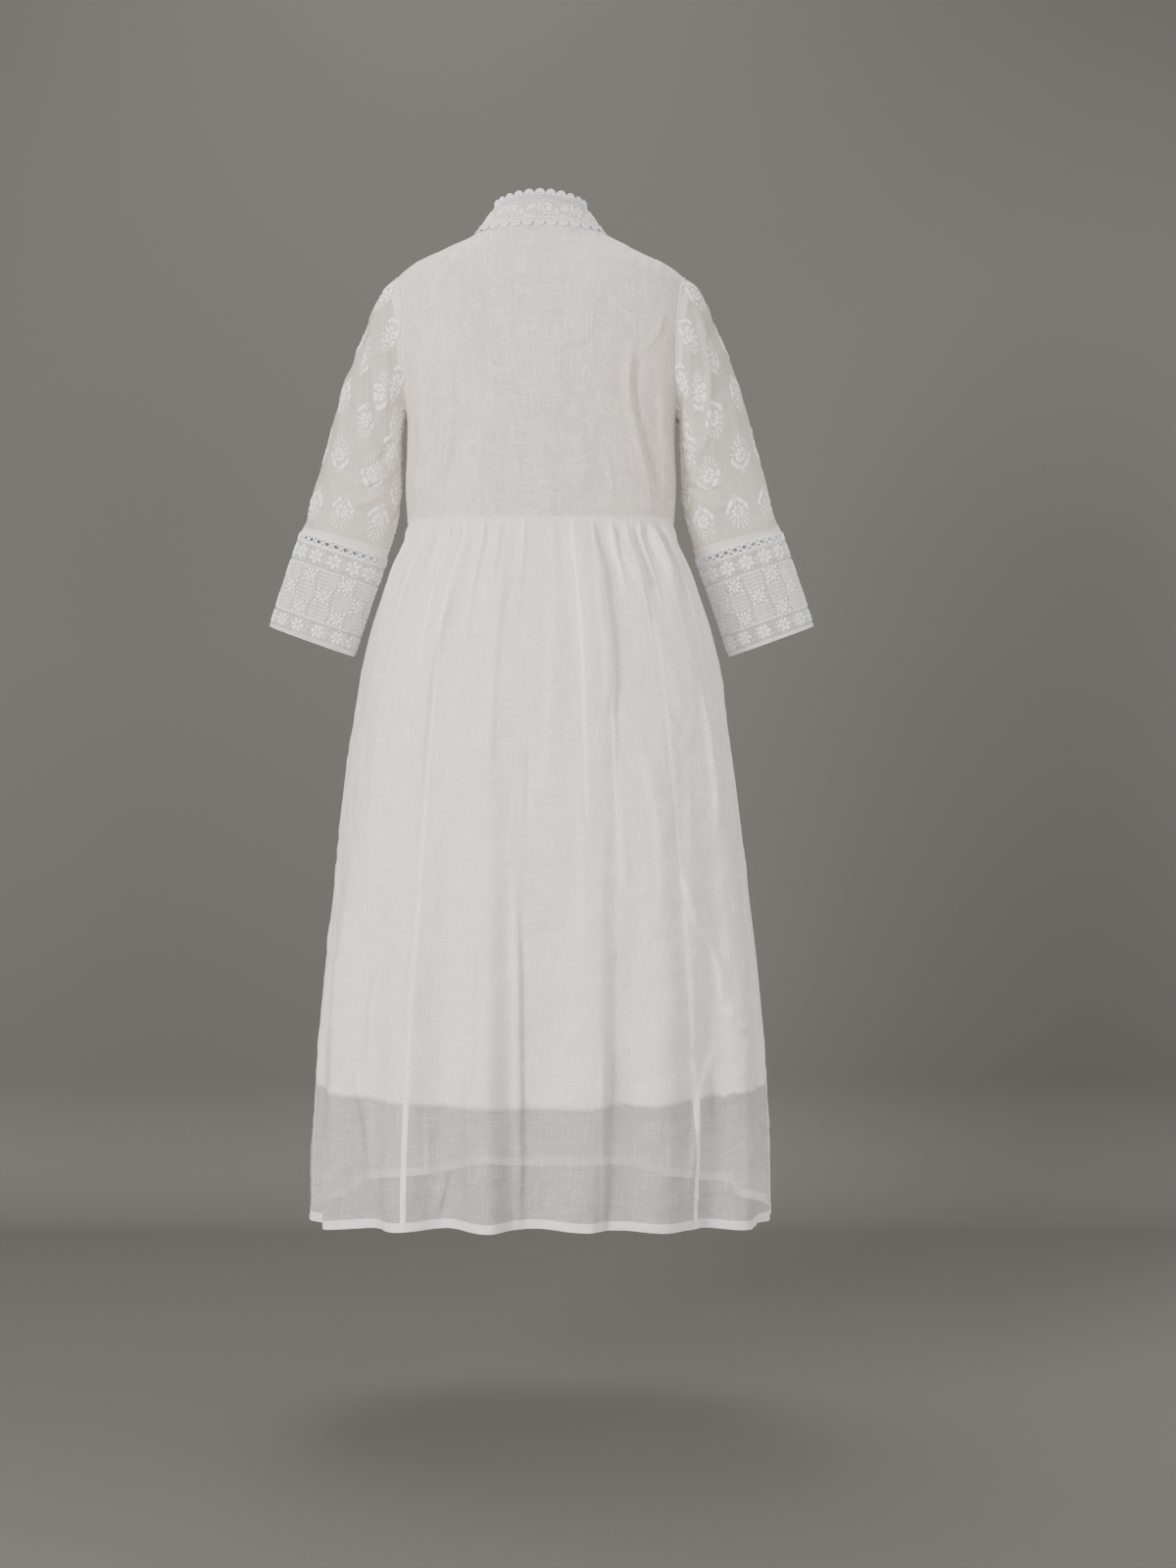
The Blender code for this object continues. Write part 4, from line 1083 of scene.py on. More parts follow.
sleeve = {
    "along": (0.0000, 0.0113, 0.0287, 0.0507, 0.0912, 0.1348, 0.1836, 0.2309, 0.2518, 0.3145, 0.3773),
    "outerX": (0.1745, 0.1875, 0.2030, 0.2160, 0.2380, 0.2560,
               0.2730, 0.2905, 0.2975, 0.3190, 0.3390),
    "outerZ": (-0.0570, -0.0665, -0.0905, -0.1220, -0.1770, -0.2320,
               -0.2930, -0.3500, -0.3655, -0.4230, -0.4810),
    "innerX": (0.1650, 0.1690, 0.1700, 0.1705, 0.1705, 0.1715,
               0.1765, 0.1850, 0.1915, 0.2130, 0.2340),
    "innerZ": (-0.2300, -0.2345, -0.2420, -0.2530, -0.2760, -0.3060,
               -0.3400, -0.3740, -0.3980, -0.4585, -0.5190),
    "depth": (0.0550, 0.0570, 0.0585, 0.0580, 0.0560, 0.0530,
              0.0490, 0.0450, 0.0425, 0.0395, 0.0370),
    "forward": (0.0, 0.0010, 0.0020, 0.0040, 0.0080, 0.0120,
                0.0170, 0.0220, 0.0250, 0.0320, 0.0400),
    "armhole": (1.0, 0.75, 0.40, 0.15, 0.0, 0.0, 0.0, 0.0, 0.0, 0.0, 0.0),
    "laceFrom": 0.2518, "laceTo": 0.2623, "end": 0.3773, "turning": 0.0092,
    "around": 168, "down": 120,
    "creases": (
        (((-0.186, -0.080), (-0.201, -0.150), (-0.204, -0.222), (-0.200, -0.262),
          (-0.180, -0.284)), 0.0040, 0.0042, 1.0),
        (((-0.203, -0.100), (-0.215, -0.160), (-0.217, -0.215)), 0.0050, -0.0026, 1.0),
        (((-0.176, -0.262), (-0.188, -0.284), (-0.205, -0.296)), 0.0038, -0.0036, 1.0),
        (((-0.176, -0.300), (-0.200, -0.312), (-0.225, -0.310)), 0.0036, 0.0034, 1.0),
        (((-0.182, -0.320), (-0.215, -0.337), (-0.250, -0.330)), 0.0046, 0.0024, 1.0),
        (((-0.225, -0.180), (-0.238, -0.235), (-0.243, -0.290)), 0.0050, 0.0026, 1.0),
        (((-0.180, -0.130), (-0.181, -0.185), (-0.185, -0.235)), 0.0040, 0.0024, 1.0),
        (((-0.230, -0.300), (-0.240, -0.345), (-0.252, -0.372)), 0.0040, 0.0020, 1.0),
    ),
}
sleeve["places"] = sleeve["along"]
seamBack = upperColumn(1.0, armhole["z"][-1], "back", 40)[::-1]
seamFront = upperColumn(1.0, armhole["z"][-1], "front", 40) * (1, -1, 1)
seamLoop = np.concatenate([seamBack, seamFront[1:]])
seamLoop[:, 0] += armhole["gap"]
seamFall = (seamLoop[0, 2] - seamLoop[:, 2]) / (seamLoop[0, 2] - seamLoop[40, 2])
seamOwn = seamLoop - (seamLoop[0] + seamFall[:, None] * (seamLoop[40] - seamLoop[0]))
seamTurn = np.arccos(np.clip(1 - 2 * seamFall, -1, 1))
seamTurn[41:] = 2 * math.pi - seamTurn[41:]
seamShare = np.linspace(0, 1, 81)


def sleeveAt(share, along, side):
    # the sleeve's surface: share goes once round from the outer edge by way of the back
    share, along = np.broadcast_arrays(np.asarray(share, float), np.asarray(along, float))
    turnShare = share % 1.0
    keys = ("outerX", "outerZ", "innerX", "innerZ", "depth", "forward", "armhole")
    at = {key: eased(sleeve, key, along, "places") for key in keys}
    ownTurn = np.interp(turnShare, seamShare, seamTurn)
    own = np.stack([np.interp(turnShare, seamShare, seamOwn[:, k]) for k in range(3)], -1)
    turn = 2 * math.pi * turnShare + at["armhole"] * (ownTurn - 2 * math.pi * turnShare)
    part = 0.5 * (1 - np.cos(turn))
    x = at["outerX"] + armhole["gap"] + part * (at["innerX"] - at["outerX"]) + at["armhole"] * own[..., 0]
    y = at["armhole"] * own[..., 1] + (1 - at["armhole"]) * at["depth"] * np.sin(turn) - at["forward"]
    z = at["outerZ"] + part * (at["innerZ"] - at["outerZ"]) + at["armhole"] * own[..., 2]
    return np.stack([side * x, y, z], -1)


def sleeveNormals(points):
    centres = points.mean(axis=1, keepdims=True)
    normals = gridNormals(points, around=True)
    away = np.sum(normals * (points - centres), axis=-1, keepdims=True)
    return np.where(away < 0, -normals, normals)


def sleeveLift(points, side):
    x = points[..., 0] * -side
    back = points[..., 1] > -np.interp(x, (-0.30, -0.17), (0.02, 0.0))
    shift = 0 if side < 0 else 0.004
    lift = creaseLift(x + shift, points[..., 2] - shift, sleeve["creases"])
    lift = np.where(back, lift, 0.8 * creaseLift(x - 0.006, points[..., 2] + 0.012, sleeve["creases"]))
    seed = 21 if side < 0 else 22
    lift += 0.0020 * softNoise(points[..., 1] + x, 0.6 * points[..., 2], 0.022, seed)
    return lift + 0.0006 * softNoise(points[..., 1] - x, 0.6 * points[..., 2], 0.008, seed + 4)


def sheetAt(points, alongs):
    # the surface through a tube's own grid of points, at any share of the turn and distance along
    rows, columns = points.shape[:2]

    def at(share, along):
        share, along = np.broadcast_arrays(np.asarray(share, float), np.asarray(along, float))
        a = (share % 1.0) * columns
        b = np.clip(np.interp(along, alongs, np.arange(rows)), 0, rows - 1.001)
        i, j = np.floor(a).astype(int), np.floor(b).astype(int)
        s, t = (a - i)[..., None], (b - j)[..., None]
        i0, i1 = i % columns, (i + 1) % columns
        upper = (1 - s) * points[j, i0] + s * points[j, i1]
        lower = (1 - s) * points[j + 1, i0] + s * points[j + 1, i1]
        return (1 - t) * upper + t * lower

    return at


sleeveSurfaces = {}
for label, side in (("right", -1), ("left", 1)):
    share = np.linspace(0, 1, sleeve["around"] + 1)[:-1]
    upTo = sleeve["laceFrom"] - sleeve["turning"]
    along = np.concatenate([np.linspace(0, upTo, sleeve["down"] - 3),
                            np.linspace(upTo, sleeve["laceFrom"], 5)[1:]])
    points = sleeveAt(*np.meshgrid(share, along), side)
    normals = sleeveNormals(points)
    hold = smoothStep(along / 0.012) * smoothStep((sleeve["laceFrom"] - along) / 0.02)
    points = points + (sleeveLift(points, side) * hold[:, None])[..., None] * normals
    sleeveSurfaces[side] = sheetAt(points, along)
    centre = points.mean(axis=1, keepdims=True)
    piece = cloth(f"{label}Sleeve", points, materials["sleeve"], centre, around=True)
    paintTurning(piece, len(points), 4, materials["sleeveTurning"])
    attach(piece, "root")
    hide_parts(f"{label}_sleeve")
print("sleeves made")


# --- small motifs ---

egg = motifMesh("egg", [blob((1, 1, 1), around=8, rings=4)])
dot = motifMesh("dot", [blob((1, 1, 1), around=6, rings=3)])
eyelet = motifMesh("eyelet", [hoop(1.0, 0.30, around=14, thick=0.8)])


def scattered(name, rows, motif, material):
    return grown(name, pointCloud(*rows), scatterTree, {"Motif": motif, "Size": 1.0, "Material": material})


def joined(name, parts):
    bpy.ops.object.select_all(action="DESELECT")
    for part in parts:
        part.select_set(True)
    bpy.context.view_layer.objects.active = parts[0]
    bpy.ops.object.join()
    parts[0].name = name
    parts[0].data.name = name
    return parts[0]


def petals(count, radius, long, wide, high, start=0.0):
    rows = []
    for k in range(count):
        turn = math.radians(start + 360 * k / count)
        rows.append((radius * math.cos(turn), radius * math.sin(turn), turn, long, wide, high))
    return rows


def mirrored(rows):
    # the same rows on the other side of the motif's own axis too
    return rows + [(-x, y, math.pi - turn, long, wide, high) for x, y, turn, long, wide, high in rows]


def laid(name, surface, centres, charts, outSign, material):
    # a motif in satin stitch at each centre: its big pads, its dots and its eyelets
    parts = []
    for key, motif in (("pads", egg), ("dots", dot), ("eyelets", eyelet)):
        if charts.get(key):
            rows = charted(surface, centres, charts[key], outSign)
            parts.append(scattered(name, rows, motif, material))
    return joined(name, parts) if len(parts) > 1 else parts[0]


def sewnOn(piece):
    # a piece with no node of its own
    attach(piece, "root")
    return piece


# --- sleeve embroidery ---

def spray(turn, places, long, wide):
    # leaflets along a ray from the middle
    rows = []
    for place in places:
        angle = math.radians(turn)
        rows.append((place * math.cos(angle), place * math.sin(angle), angle, long, wide, 0.0007))
    return rows


sprig = {
    # +y is towards the stem; each row is x, y, turn, half length, half width, half height
    "pads": petals(8, 0.0064, 0.0031, 0.0025, 0.0010, 22.5)
    + mirrored([(0.0074, 0.0118, math.radians(130), 0.0072, 0.0034, 0.0011),
                (0.0134, 0.0040, math.radians(98), 0.0052, 0.0028, 0.0010)])
    + [(0.0, 0.0172, math.radians(90), 0.0062, 0.0011, 0.0008)],
    "dots": spray(-90, (0.0118, 0.0153, 0.0188, 0.0218), 0.0018, 0.0015)
    + mirrored(spray(-72, (0.0130, 0.0164, 0.0194), 0.0018, 0.0015)
               + spray(-50, (0.0120, 0.0150, 0.0174), 0.0018, 0.0014)
               + spray(-24, (0.0122, 0.0148), 0.0018, 0.0013)
               + [(0.0026, 0.0212, math.radians(60), 0.0016, 0.0010, 0.0007)]),
    "eyelets": [(0.0, 0.0, 0.0, 0.0024, 0.0024, 0.0026)],
    # each row of sprigs: how far along the sleeve, the first one's share of the turn, how many, and stem up
    "rows": ((0.016, 0.083, 8, True), (0.058, 0.148, 8, False), (0.104, 0.090, 7, True),
             (0.156, 0.158, 7, False), (0.213, 0.080, 7, True)),
    "nudge": 0.0015, "lean": 0.08,  # how far a sprig may lie off its place, and turn
}
sleeveTrims = {"right": [], "left": []}
for label, side in (("right", -1), ("left", 1)):
    rng = np.random.default_rng(31 if side < 0 else 32)
    centres = []
    for along, first, count, up in sprig["rows"]:
        for k in range(count):
            nudge = rng.uniform(-sprig["nudge"], sprig["nudge"], 2)
            turn = (math.pi if up else 0.0) + rng.uniform(-sprig["lean"], sprig["lean"])
            centres.append((first + k / count + nudge[0], along + nudge[1], turn))
    piece = laid(f"{label}SleeveSprigs", sleeveSurfaces[side], centres, sprig, -side, materials["satin"])
    sleeveTrims[label].append(sewnOn(piece))
print("sleeve embroidery made")


# --- insertion lace and cuffs ---

cuff = {
    "cells": 29, "cross": 0.00105, "edge": 0.0010,
    "bandEnd": 0.2885, "checksEnd": 0.3510, "plain": 0.3750, "columns": 14, "checkRows": 3, "lines": 9,
    "endFlowers": 13, "across": 180, "down": 60,
}
cuffBead = {"dots": [(0, 0, 0, 0.0009, 0.0008, 0.0007)]}
bandFlower = {
    "pads": petals(6, 0.0064, 0.0037, 0.0031, 0.0011, 30),
    "dots": petals(6, 0.0108, 0.0013, 0.0011, 0.0007, 0),
    "eyelets": [(0.0, 0.0, 0.0, 0.0023, 0.0023, 0.0032)],
}
endFlower = {
    "pads": petals(6, 0.0058, 0.0034, 0.0028, 0.0011, 0),
    "dots": petals(6, 0.0096, 0.0012, 0.0010, 0.0007, 30),
    "eyelets": [(0.0, 0.0, 0.0, 0.0021, 0.0021, 0.0030)],
}
checkStar = {
    "pads": petals(4, 0.0060, 0.0036, 0.0019, 0.0011, 20) + petals(4, 0.0060, 0.0036, 0.0019, 0.0011, -20)
    + petals(4, 0.0110, 0.0028, 0.0021, 0.0010, 45),
    "dots": petals(4, 0.0102, 0.0012, 0.0010, 0.0007, 0),
    "eyelets": [(0.0, 0.0, 0.0, 0.0021, 0.0021, 0.0032)],
}


def ringPath(along, side, lift, count=180):
    share = np.linspace(0, 1, count + 1)[:-1]
    points = sleeveAt(share, along, side)
    ahead, behind = sleeveAt(share + 1e-4, along, side), sleeveAt(share, along + 1e-4, side)
    out = unit(np.cross(ahead - points, behind - points)) * -side
    return points + lift * out


def sleevePath(shares, alongs, side, lift):
    here = sleeveAt(shares, alongs, side)
    wayRound = sleeveAt(shares + 1e-4, alongs, side) - here
    wayDown = sleeveAt(shares, alongs + 1e-4, side) - here
    return here - side * lift * unit(np.cross(wayRound, wayDown))


def smoothSleeve(side):
    # the sleeve's surface without its creases, which the cuff is made on
    def at(share, along):
        return sleeveAt(share, along, side)

    return at


def bandCentres(count, along):
    return [((k + 0.5) / count, along, 0.0) for k in range(count)]


for label, side in (("right", -1), ("left", 1)):
    surface = smoothSleeve(side)
    top, foot = sleeve["laceFrom"] + 0.0006, sleeve["laceTo"] - 0.0006
    crosses = []
    for k in range(cuff["cells"]):
        for way in (1, -1):
            t = np.linspace(0, 1, 7)
            shares = (k + 0.5 + way * (t - 0.5)) / cuff["cells"]
            crosses.append(sleevePath(shares, top + t * (foot - top), side, 0.0004 + 0.0003 * way))
    bars = cords("crossBars", crosses, cuff["cross"], materials["crochet"])
    edges = cords("laceEdges", [ringPath(along, side, 0.0004) for along in (top, foot)],
                  cuff["edge"], materials["crochet"], closed=True)
    lace = joined(f"{label}InsertionLace", [bars, edges])
    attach(lace, "root")
    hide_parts(f"{label}_sleeve_lace")
    sleeveTrims[label].append(lace)

    share = np.linspace(0, 1, cuff["across"] + 1)[:-1]
    along = np.concatenate([np.linspace(sleeve["laceTo"], cuff["plain"], cuff["down"] - 3),
                            np.linspace(cuff["plain"], sleeve["end"], 5)[1:]])
    shares, alongs = np.meshgrid(share, along)
    ragged = 0.0016 * softNoise(shares * 0.30, alongs * 0, 0.005, 41) * (alongs > cuff["plain"])
    points = sleeveAt(shares, alongs + ragged, side)
    points += (0.0005 * softNoise(shares * 0.3, alongs, 0.012, 43))[..., None] * sleeveNormals(points)
    net = cloth(f"{label}CuffNet", points, materials["net"], points.mean(axis=1, keepdims=True), around=True)
    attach(net, "root")
    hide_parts(f"{label}_cuff")

    columns = cuff["columns"]
    middle = 0.5 * (sleeve["laceTo"] + cuff["bandEnd"])
    bandOne = laid("bandOne", surface, bandCentres(columns, middle), bandFlower, -side, materials["satin"])
    middle = 0.5 * (cuff["checksEnd"] + cuff["plain"])
    bandTwo = laid("bandTwo", surface, bandCentres(cuff["endFlowers"], middle), endFlower, -side,
                   materials["satin"])
    height = (cuff["checksEnd"] - cuff["bandEnd"]) / cuff["checkRows"]
    stars, lines, beads = [], [], []
    for row in range(cuff["checkRows"]):
        for k in range(columns):
            top = cuff["bandEnd"] + row * height
            if (row + k) % 2 == 0:
                stars.append(((k + 0.5) / columns, top + 0.5 * height, 0.0))
                continue
            for line in range(cuff["lines"]):
                at = top + (line + 0.5) * height / cuff["lines"]
                t = np.linspace(0.04, 0.96, 7)
                if line % 2 == 0:
                    lines.append(sleevePath((k + t) / columns, at + 0 * t, side, 0.0004))
                else:
                    beads += [((k + 0.10 + 0.114 * b) / columns, at, 0.0) for b in range(8)]
    starPiece = laid("stars", surface, stars, checkStar, -side, materials["satin"])
    linePiece = cords("checkLines", lines, 0.00070, materials["satin"], sides=5)
    beadPiece = laid("beads", surface, beads, cuffBead, -side, materials["satin"])
    rings = (sleeve["laceTo"] + 0.0012, cuff["bandEnd"], cuff["checksEnd"], cuff["plain"], sleeve["end"])
    ringPiece = cords("cuffCords", [ringPath(along, side, 0.0004) for along in rings], 0.0006,
                      materials["satin"], closed=True)
    flowers = joined(f"{label}CuffFlowers", [bandOne, bandTwo, starPiece, linePiece, beadPiece, ringPiece])
    sleeveTrims[label + "Cuff"] = [sewnOn(flowers)]
print("cuffs made")


# --- collar ---

collar = {
    "topHalf": 0.0580, "topBack": 0.0460, "topFront": 0.0640,
    "topSideZ": 0.0245, "topRise": 0.0085, "topDrop": 0.0685,
    "bulge": 0.0012, "height": 0.0335, "rows": 12,
    "edgePitch": 0.0131, "edgeWide": 0.0060, "edgeHigh": 0.0064, "holes": 0.0031,
    "neckPitch": 0.0143, "neckWide": 0.0062, "neckHigh": 0.0060, "piping": 0.0011,
    "swirl": 0.0222, "thread": 0.00075,
}


def torsoSlope(points):
    slopes = []
    for axis in np.eye(3):
        levels = []
        for sign in (1, -1):
            p = points + sign * 0.0005 * axis
            half = eased(body, "half", p[:, 2])
            depth = np.where(p[:, 1] >= 0, eased(body, "back", p[:, 2]), eased(body, "front", p[:, 2]))
            across = np.abs(p[:, 0] / half) ** body["roundness"]
            levels.append(across + np.abs(p[:, 1] / depth) ** body["roundness"])
        slopes.append((levels[0] - levels[1]) / 0.001)
    return np.stack(slopes, 1)


def inNeck(grid):
    top = grid[-1]
    return top[np.abs(top[:, 0]) < body["neckHalf"] + 1e-4].copy()


behind, before = inNeck(bodiceGrids["back"]), inNeck(bodiceGrids["front"])
behind[(0, -1), 1] = 0
half = len(before) // 2
neckSeam, _ = densePath(np.concatenate([before[half - 1:0:-1], behind, before[-2:half - 1:-1]]), 0.001)
neckRun = runAlong(neckSeam)
neckAcross = np.clip(neckSeam[:, 0] / body["neckHalf"], -1, 1)
neckAlong = np.sqrt(1 - neckAcross**2)
isBehind = neckSeam[:, 1] >= 0
topLift = np.where(isBehind, collar["topRise"] * neckAlong**2, -collar["topDrop"] * neckAlong**1.5)
collarTop = np.stack([
    np.where(np.abs(neckSeam[:, 0]) < 0.0031, neckSeam[:, 0], neckAcross * collar["topHalf"]),
    np.where(isBehind, collar["topBack"], -collar["topFront"]) * neckAlong,
    collar["topSideZ"] + topLift,
], 1)
neckWay = np.gradient(neckSeam, axis=0)
neckOut = unit(np.stack([-neckWay[:, 1], neckWay[:, 0], 0 * neckWay[:, 0]], 1))
neckOut *= np.where(np.sum(neckOut * (neckSeam - (0, -0.01, 0)), axis=1, keepdims=True) < 0, -1, 1)
collarFoot = neckSeam + (0, 0, 0.0006)


def alongNeck(u, rows):
    # a table of vectors along the neck seam, read u metres along it
    return np.stack([np.interp(u, neckRun, rows[:, k]) for k in range(3)], -1)


def collarAt(u, v):
    # u is metres along the neck seam and v the share of the collar's height
    u, v = np.broadcast_arrays(np.asarray(u, float), np.asarray(v, float))
    foot, top = alongNeck(u, collarFoot), alongNeck(u, collarTop)
    out = unit(alongNeck(u, neckOut))
    return foot + v[..., None] * (top - foot) + (4 * v * (1 - v) * collar["bulge"])[..., None] * out


u, v = np.meshgrid(np.linspace(0, neckRun[-1], 360), np.linspace(1, 0, collar["rows"]))
collarPiece = cloth("collarBand", collarAt(u, v), materials["collar"], np.array([0, -0.01, 0.02]))
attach(collarPiece, "root")
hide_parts("collar_band")


def swirlPaths():
    # scrolls that curl up and down by turns along the collar, each with its own wind
    rng = np.random.default_rng(51)
    count = int(neckRun[-1] / collar["swirl"])
    height = collar["height"]
    paths, leaves = [], []
    for k in range(count):
        middle = (k + 0.5) * neckRun[-1] / count
        up = 1 if k % 2 == 0 else -1
        level = 0.5 + up * 0.04
        winds = 1.30 + rng.uniform(-0.1, 0.1)
        t = np.linspace(0, 1, 30)
        angle = (math.pi if up > 0 else 0.0) + up * 2 * math.pi * winds * t
        reach = 0.0112 * (1 - t) + 0.0020 * t
        paths.append((middle + reach * np.cos(angle) * 0.95, level + reach * np.sin(angle) / height))
        inner, ahead = reach * 0.62, angle + 2.4
        paths.append((middle + inner * np.cos(ahead) * 0.95, 0.5 + inner * np.sin(ahead) / height))
        for j in range(9):
            turn = angle[0] + up * (0.3 + 0.62 * j)
            away = 0.0142 - 0.0003 * j
            y = away * math.sin(turn)
            if abs(y) < 0.0150:
                leaves.append((middle + away * math.cos(turn) * 0.90, level + y / height, turn + 0.7))
        for across, high in ((1, 0), (-1, 0), (0, 1)):
            leaves.append((middle + 0.0015 * across, 0.5 + 0.0015 * high / height, 0.0))
        if k < count - 1:
            between = np.linspace(0, 1, 12)
            nextMiddle = middle + neckRun[-1] / count
            paths.append((middle + 0.010 + between * (nextMiddle - middle - 0.020),
                          0.5 + 0.30 * up * np.sin(math.pi * between)))
    return paths, leaves


swirls, leaves = swirlPaths()
laidSwirls = []
for u, v in swirls:
    u, v = np.clip(u, 0.001, neckRun[-1] - 0.001), np.clip(v, 0.05, 0.95)
    here = collarAt(u, v)
    out = unit(alongNeck(u, neckOut))
    laidSwirls.append(here + 0.0002 * out)
swirlPiece = cords("swirls", laidSwirls, collar["thread"], materials["satin"], sides=5)
collarLeaf = {"dots": [(0, 0, 0, 0.0023, 0.0011, 0.0008)]}
leaves = [(u, v, turn) for u, v, turn in leaves if 0.002 < u < neckRun[-1] - 0.002]
leafPiece = laid("leaves", collarAt, leaves, collarLeaf, -1, materials["satin"])
collarStitch = sewnOn(joined("collarEmbroidery", [swirlPiece, leafPiece]))


def fan(wide, high, way, cord=0.00058):
    # one crocheted scallop: arcs of thread round a small hole, tied by spokes. It grows to +y or,
    # if way is -1, to -y
    parts = []
    for share in (1.0, 0.76, 0.52):
        parts.append(hoop(high * share, cord, (0, 0.0004, 0), around=12, stretch=wide / high, arc=0.5))
    parts.append(hoop(high * 0.24, cord, (0, 0.0016, 0), around=8, stretch=1.0))
    for k in range(9):
        turn = math.radians(14 + 19 * k)
        middle = (0.68 * wide * math.cos(turn), 0.68 * high * math.sin(turn) + 0.0006, 0)
        parts.append(blob((0.34 * high, 0.0006, 0.0005), middle, around=6, rings=3,
                          turn=math.atan2(high * math.sin(turn), wide * math.cos(turn))))
    for k in range(7):
        turn = math.radians(18 + 24 * k)
        middle = (wide * math.cos(turn), high * math.sin(turn) + 0.0004, 0)
        parts.append(blob((0.0007, 0.0007, 0.0006), middle, around=6, rings=3))
    if way < 0:
        parts = [(points * (1, -1, 1), [face[::-1] for face in faces]) for points, faces in parts]
    return parts


def edging(name, path, outs, motif, spacing, material):
    values = {"Motif": motif, "Spacing": spacing, "Material": material}
    return grown(name, pathMesh([path], [outs]), edgingTree, values)


collarRise = unit(collarTop - collarFoot)
topOut = unit(neckOut)
laceFoot = collarTop + 0.0010 * collarRise
laceEdge = collarTop + 0.0040 * collarRise
hole = motifMesh("laceHole", [hoop(0.0014, 0.00040, around=10)])
edgeFan = motifMesh("edgeFan", fan(collar["edgeWide"], collar["edgeHigh"], -1))
fanFoot = laceEdge + 0.0002 * collarRise
edgeParts = [
    edging("edgeFans", fanFoot, topOut, edgeFan, collar["edgePitch"], materials["crochet"]),
    edging("edgeHoles", 0.5 * (laceFoot + laceEdge), topOut, hole, collar["holes"], materials["crochet"]),
    cords("edgeCords", [laceFoot, laceEdge], 0.00055, materials["crochet"]),
]
edgeLace = joined("collarEdgeLace", edgeParts)
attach(edgeLace, "root")
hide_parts("collar_edge_lace")

slope = unit(torsoSlope(neckSeam))
hang = unit(np.cross(slope, neckWay))
neckFan = motifMesh("neckFan", fan(collar["neckWide"], collar["neckHigh"], 1))
laceTop = neckSeam + 0.0012 * slope + 0.0006 * hang
laceLow = neckSeam + 0.0013 * slope + 0.0020 * hang
neckParts = [
    edging("neckFans", laceLow, slope, neckFan, collar["neckPitch"], materials["crochet"]),
    cords("neckCords", [laceTop, laceLow], 0.0006, materials["crochet"]),
]
neckLace = joined("neckSeamLace", neckParts)
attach(neckLace, "root")
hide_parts("neck_seam_lace")
pipingPath = neckSeam + 0.0012 * neckOut + (0, 0, 0.0022)
piping = sewnOn(cords("neckPiping", [pipingPath], collar["piping"], materials["cream"], sides=8))
print("collar made")


# --- seams and stitches ---

seams = {
    "ridge": 0.0008, "waist": 0.0010, "stitch": 0.0030, "fine": 0.0006, "proud": 0.0002,
    "inside": 0.0009,  # how far a seam's allowance lies inside its cloth
    "kalis": {"back": (-31.2, 38.0), "front": (146.0, -149.7)},  # where the skirt's panels meet
}
hemRow = -5  # the turning's topmost row
stitch = motifMesh("stitch", [blob((0.0010, 0.0003, 0.00025), around=6, rings=3)])

waistPath = np.concatenate([skirtGrids["back"][0], skirtGrids["front"][0][1:-1]])
waistOut = unit(waistPath * (1, 1, 0))
waistRidge = cords("waistSeam", [waistPath + 0.0004 * waistOut], seams["waist"], materials["cream"],
                   closed=True)
skirtRidges = []
for edge, sign in ((0, 1), (-1, -1)):
    skirtRidges.append(skirtGrids["back"][2:, edge] + (seams["proud"] * sign, 0, 0))
sideRidge = cords("sideRidges", skirtRidges, seams["fine"], materials["cream"], sides=5)
skirtSeams = sewnOn(joined("skirtSeams", [waistRidge, sideRidge]))
bodiceRidges = []
for edge in (0, -1):
    column = bodiceGrids["back"][: bodice["low"] + 1, edge]
    bodiceRidges.append(column + (seams["proud"] * np.sign(column[0, 0]), 0, 0))
top = bodiceGrids["back"][-1]
for sign in (-1, 1):
    bodiceRidges.append(top[(top[:, 0] * sign > body["neckHalf"] - 1e-4)] + (0, 0, seams["proud"]))
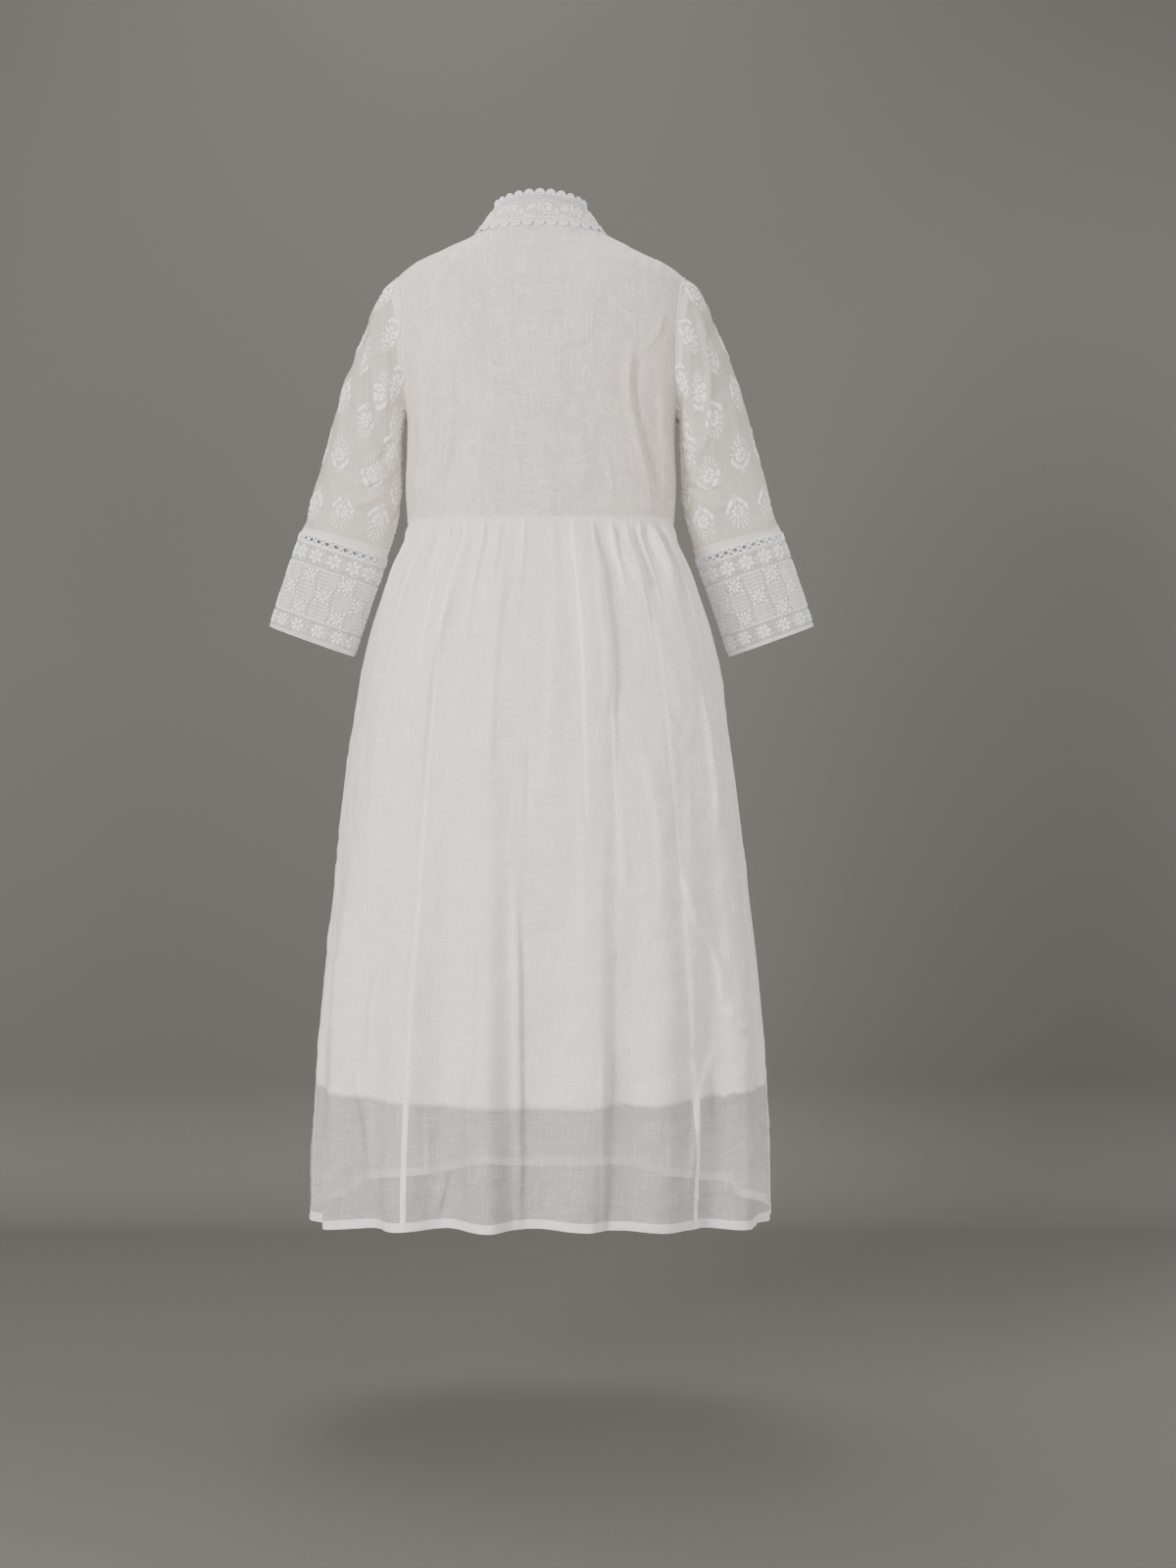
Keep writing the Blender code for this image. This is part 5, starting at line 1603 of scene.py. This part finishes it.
bodiceSeams = cords("bodiceSeams", bodiceRidges, seams["fine"], materials["cream"], sides=5)
sewnOn(bodiceSeams)

hemStitches = []
for side in ("back", "front"):
    for grid in (skirtGrids[side], liningGrids[side]):
        outs = outNormals(grid, axisOf(grid))[hemRow]
        hemStitches.append(edging("hemStitches", grid[hemRow] + 0.0003 * outs, outs, stitch,
                                  seams["stitch"], materials["cream"]))
hemLine = sewnOn(joined("hemStitching", hemStitches))

for label, side in (("right", -1), ("left", 1)):
    share, along = np.meshgrid(np.linspace(0, 1, 121)[:-1], np.linspace(0.0004, 0.0094, 5))
    band = sleeveAt(share, along, side)
    band = band - seams["inside"] * sleeveNormals(band)
    allowance = cloth(f"{label}ArmholeSeam", band, materials["hem"], band.mean(axis=1, keepdims=True),
                      around=True)
    ring = sleeveAt(np.linspace(0, 1, 121)[:-1], 0.0005, side)
    cordRing = cords("armholeCord", [ring], seams["ridge"], materials["cream"], closed=True)
    sleeveTrims[label].append(sewnOn(joined(f"{label}ArmholeSeam", [allowance, cordRing])))
    stripShares, alongs = np.meshgrid(np.array([0.478, 0.489, 0.5]),
                                      np.linspace(0.004, sleeve["laceFrom"] - 0.001, 60))
    strip = sleeveAt(stripShares, alongs, side)
    tube = sleeveAt(*np.meshgrid(np.linspace(0, 1, 91)[:-1], alongs[:, 0]), side)
    strip = strip - seams["inside"] * sleeveNormals(tube)[:, 43:46]
    stripPiece = cloth(f"{label}SleeveSeam", strip, materials["hem"], np.array([side * 0.25, 0, -0.3]))
    sleeveTrims[label].append(sewnOn(stripPiece))

strips = []
for side, angles in seams["kalis"].items():
    for centre in angles:
        turns, falls = np.meshgrid(centre + np.array([0, 0.75, 1.5]), np.linspace(0.02, 0.985, 110))
        z = body["waist"] + falls * (hemZ(turns) - body["waist"])
        inside = roundSection(turns, z, skirtEase(turns, z) - 0.0016)
        strips.append(cloth("panelSeam", inside, materials["hem"], axisOf(inside)))
panelSeams = sewnOn(joined("panelSeams", strips))
print("seams made")
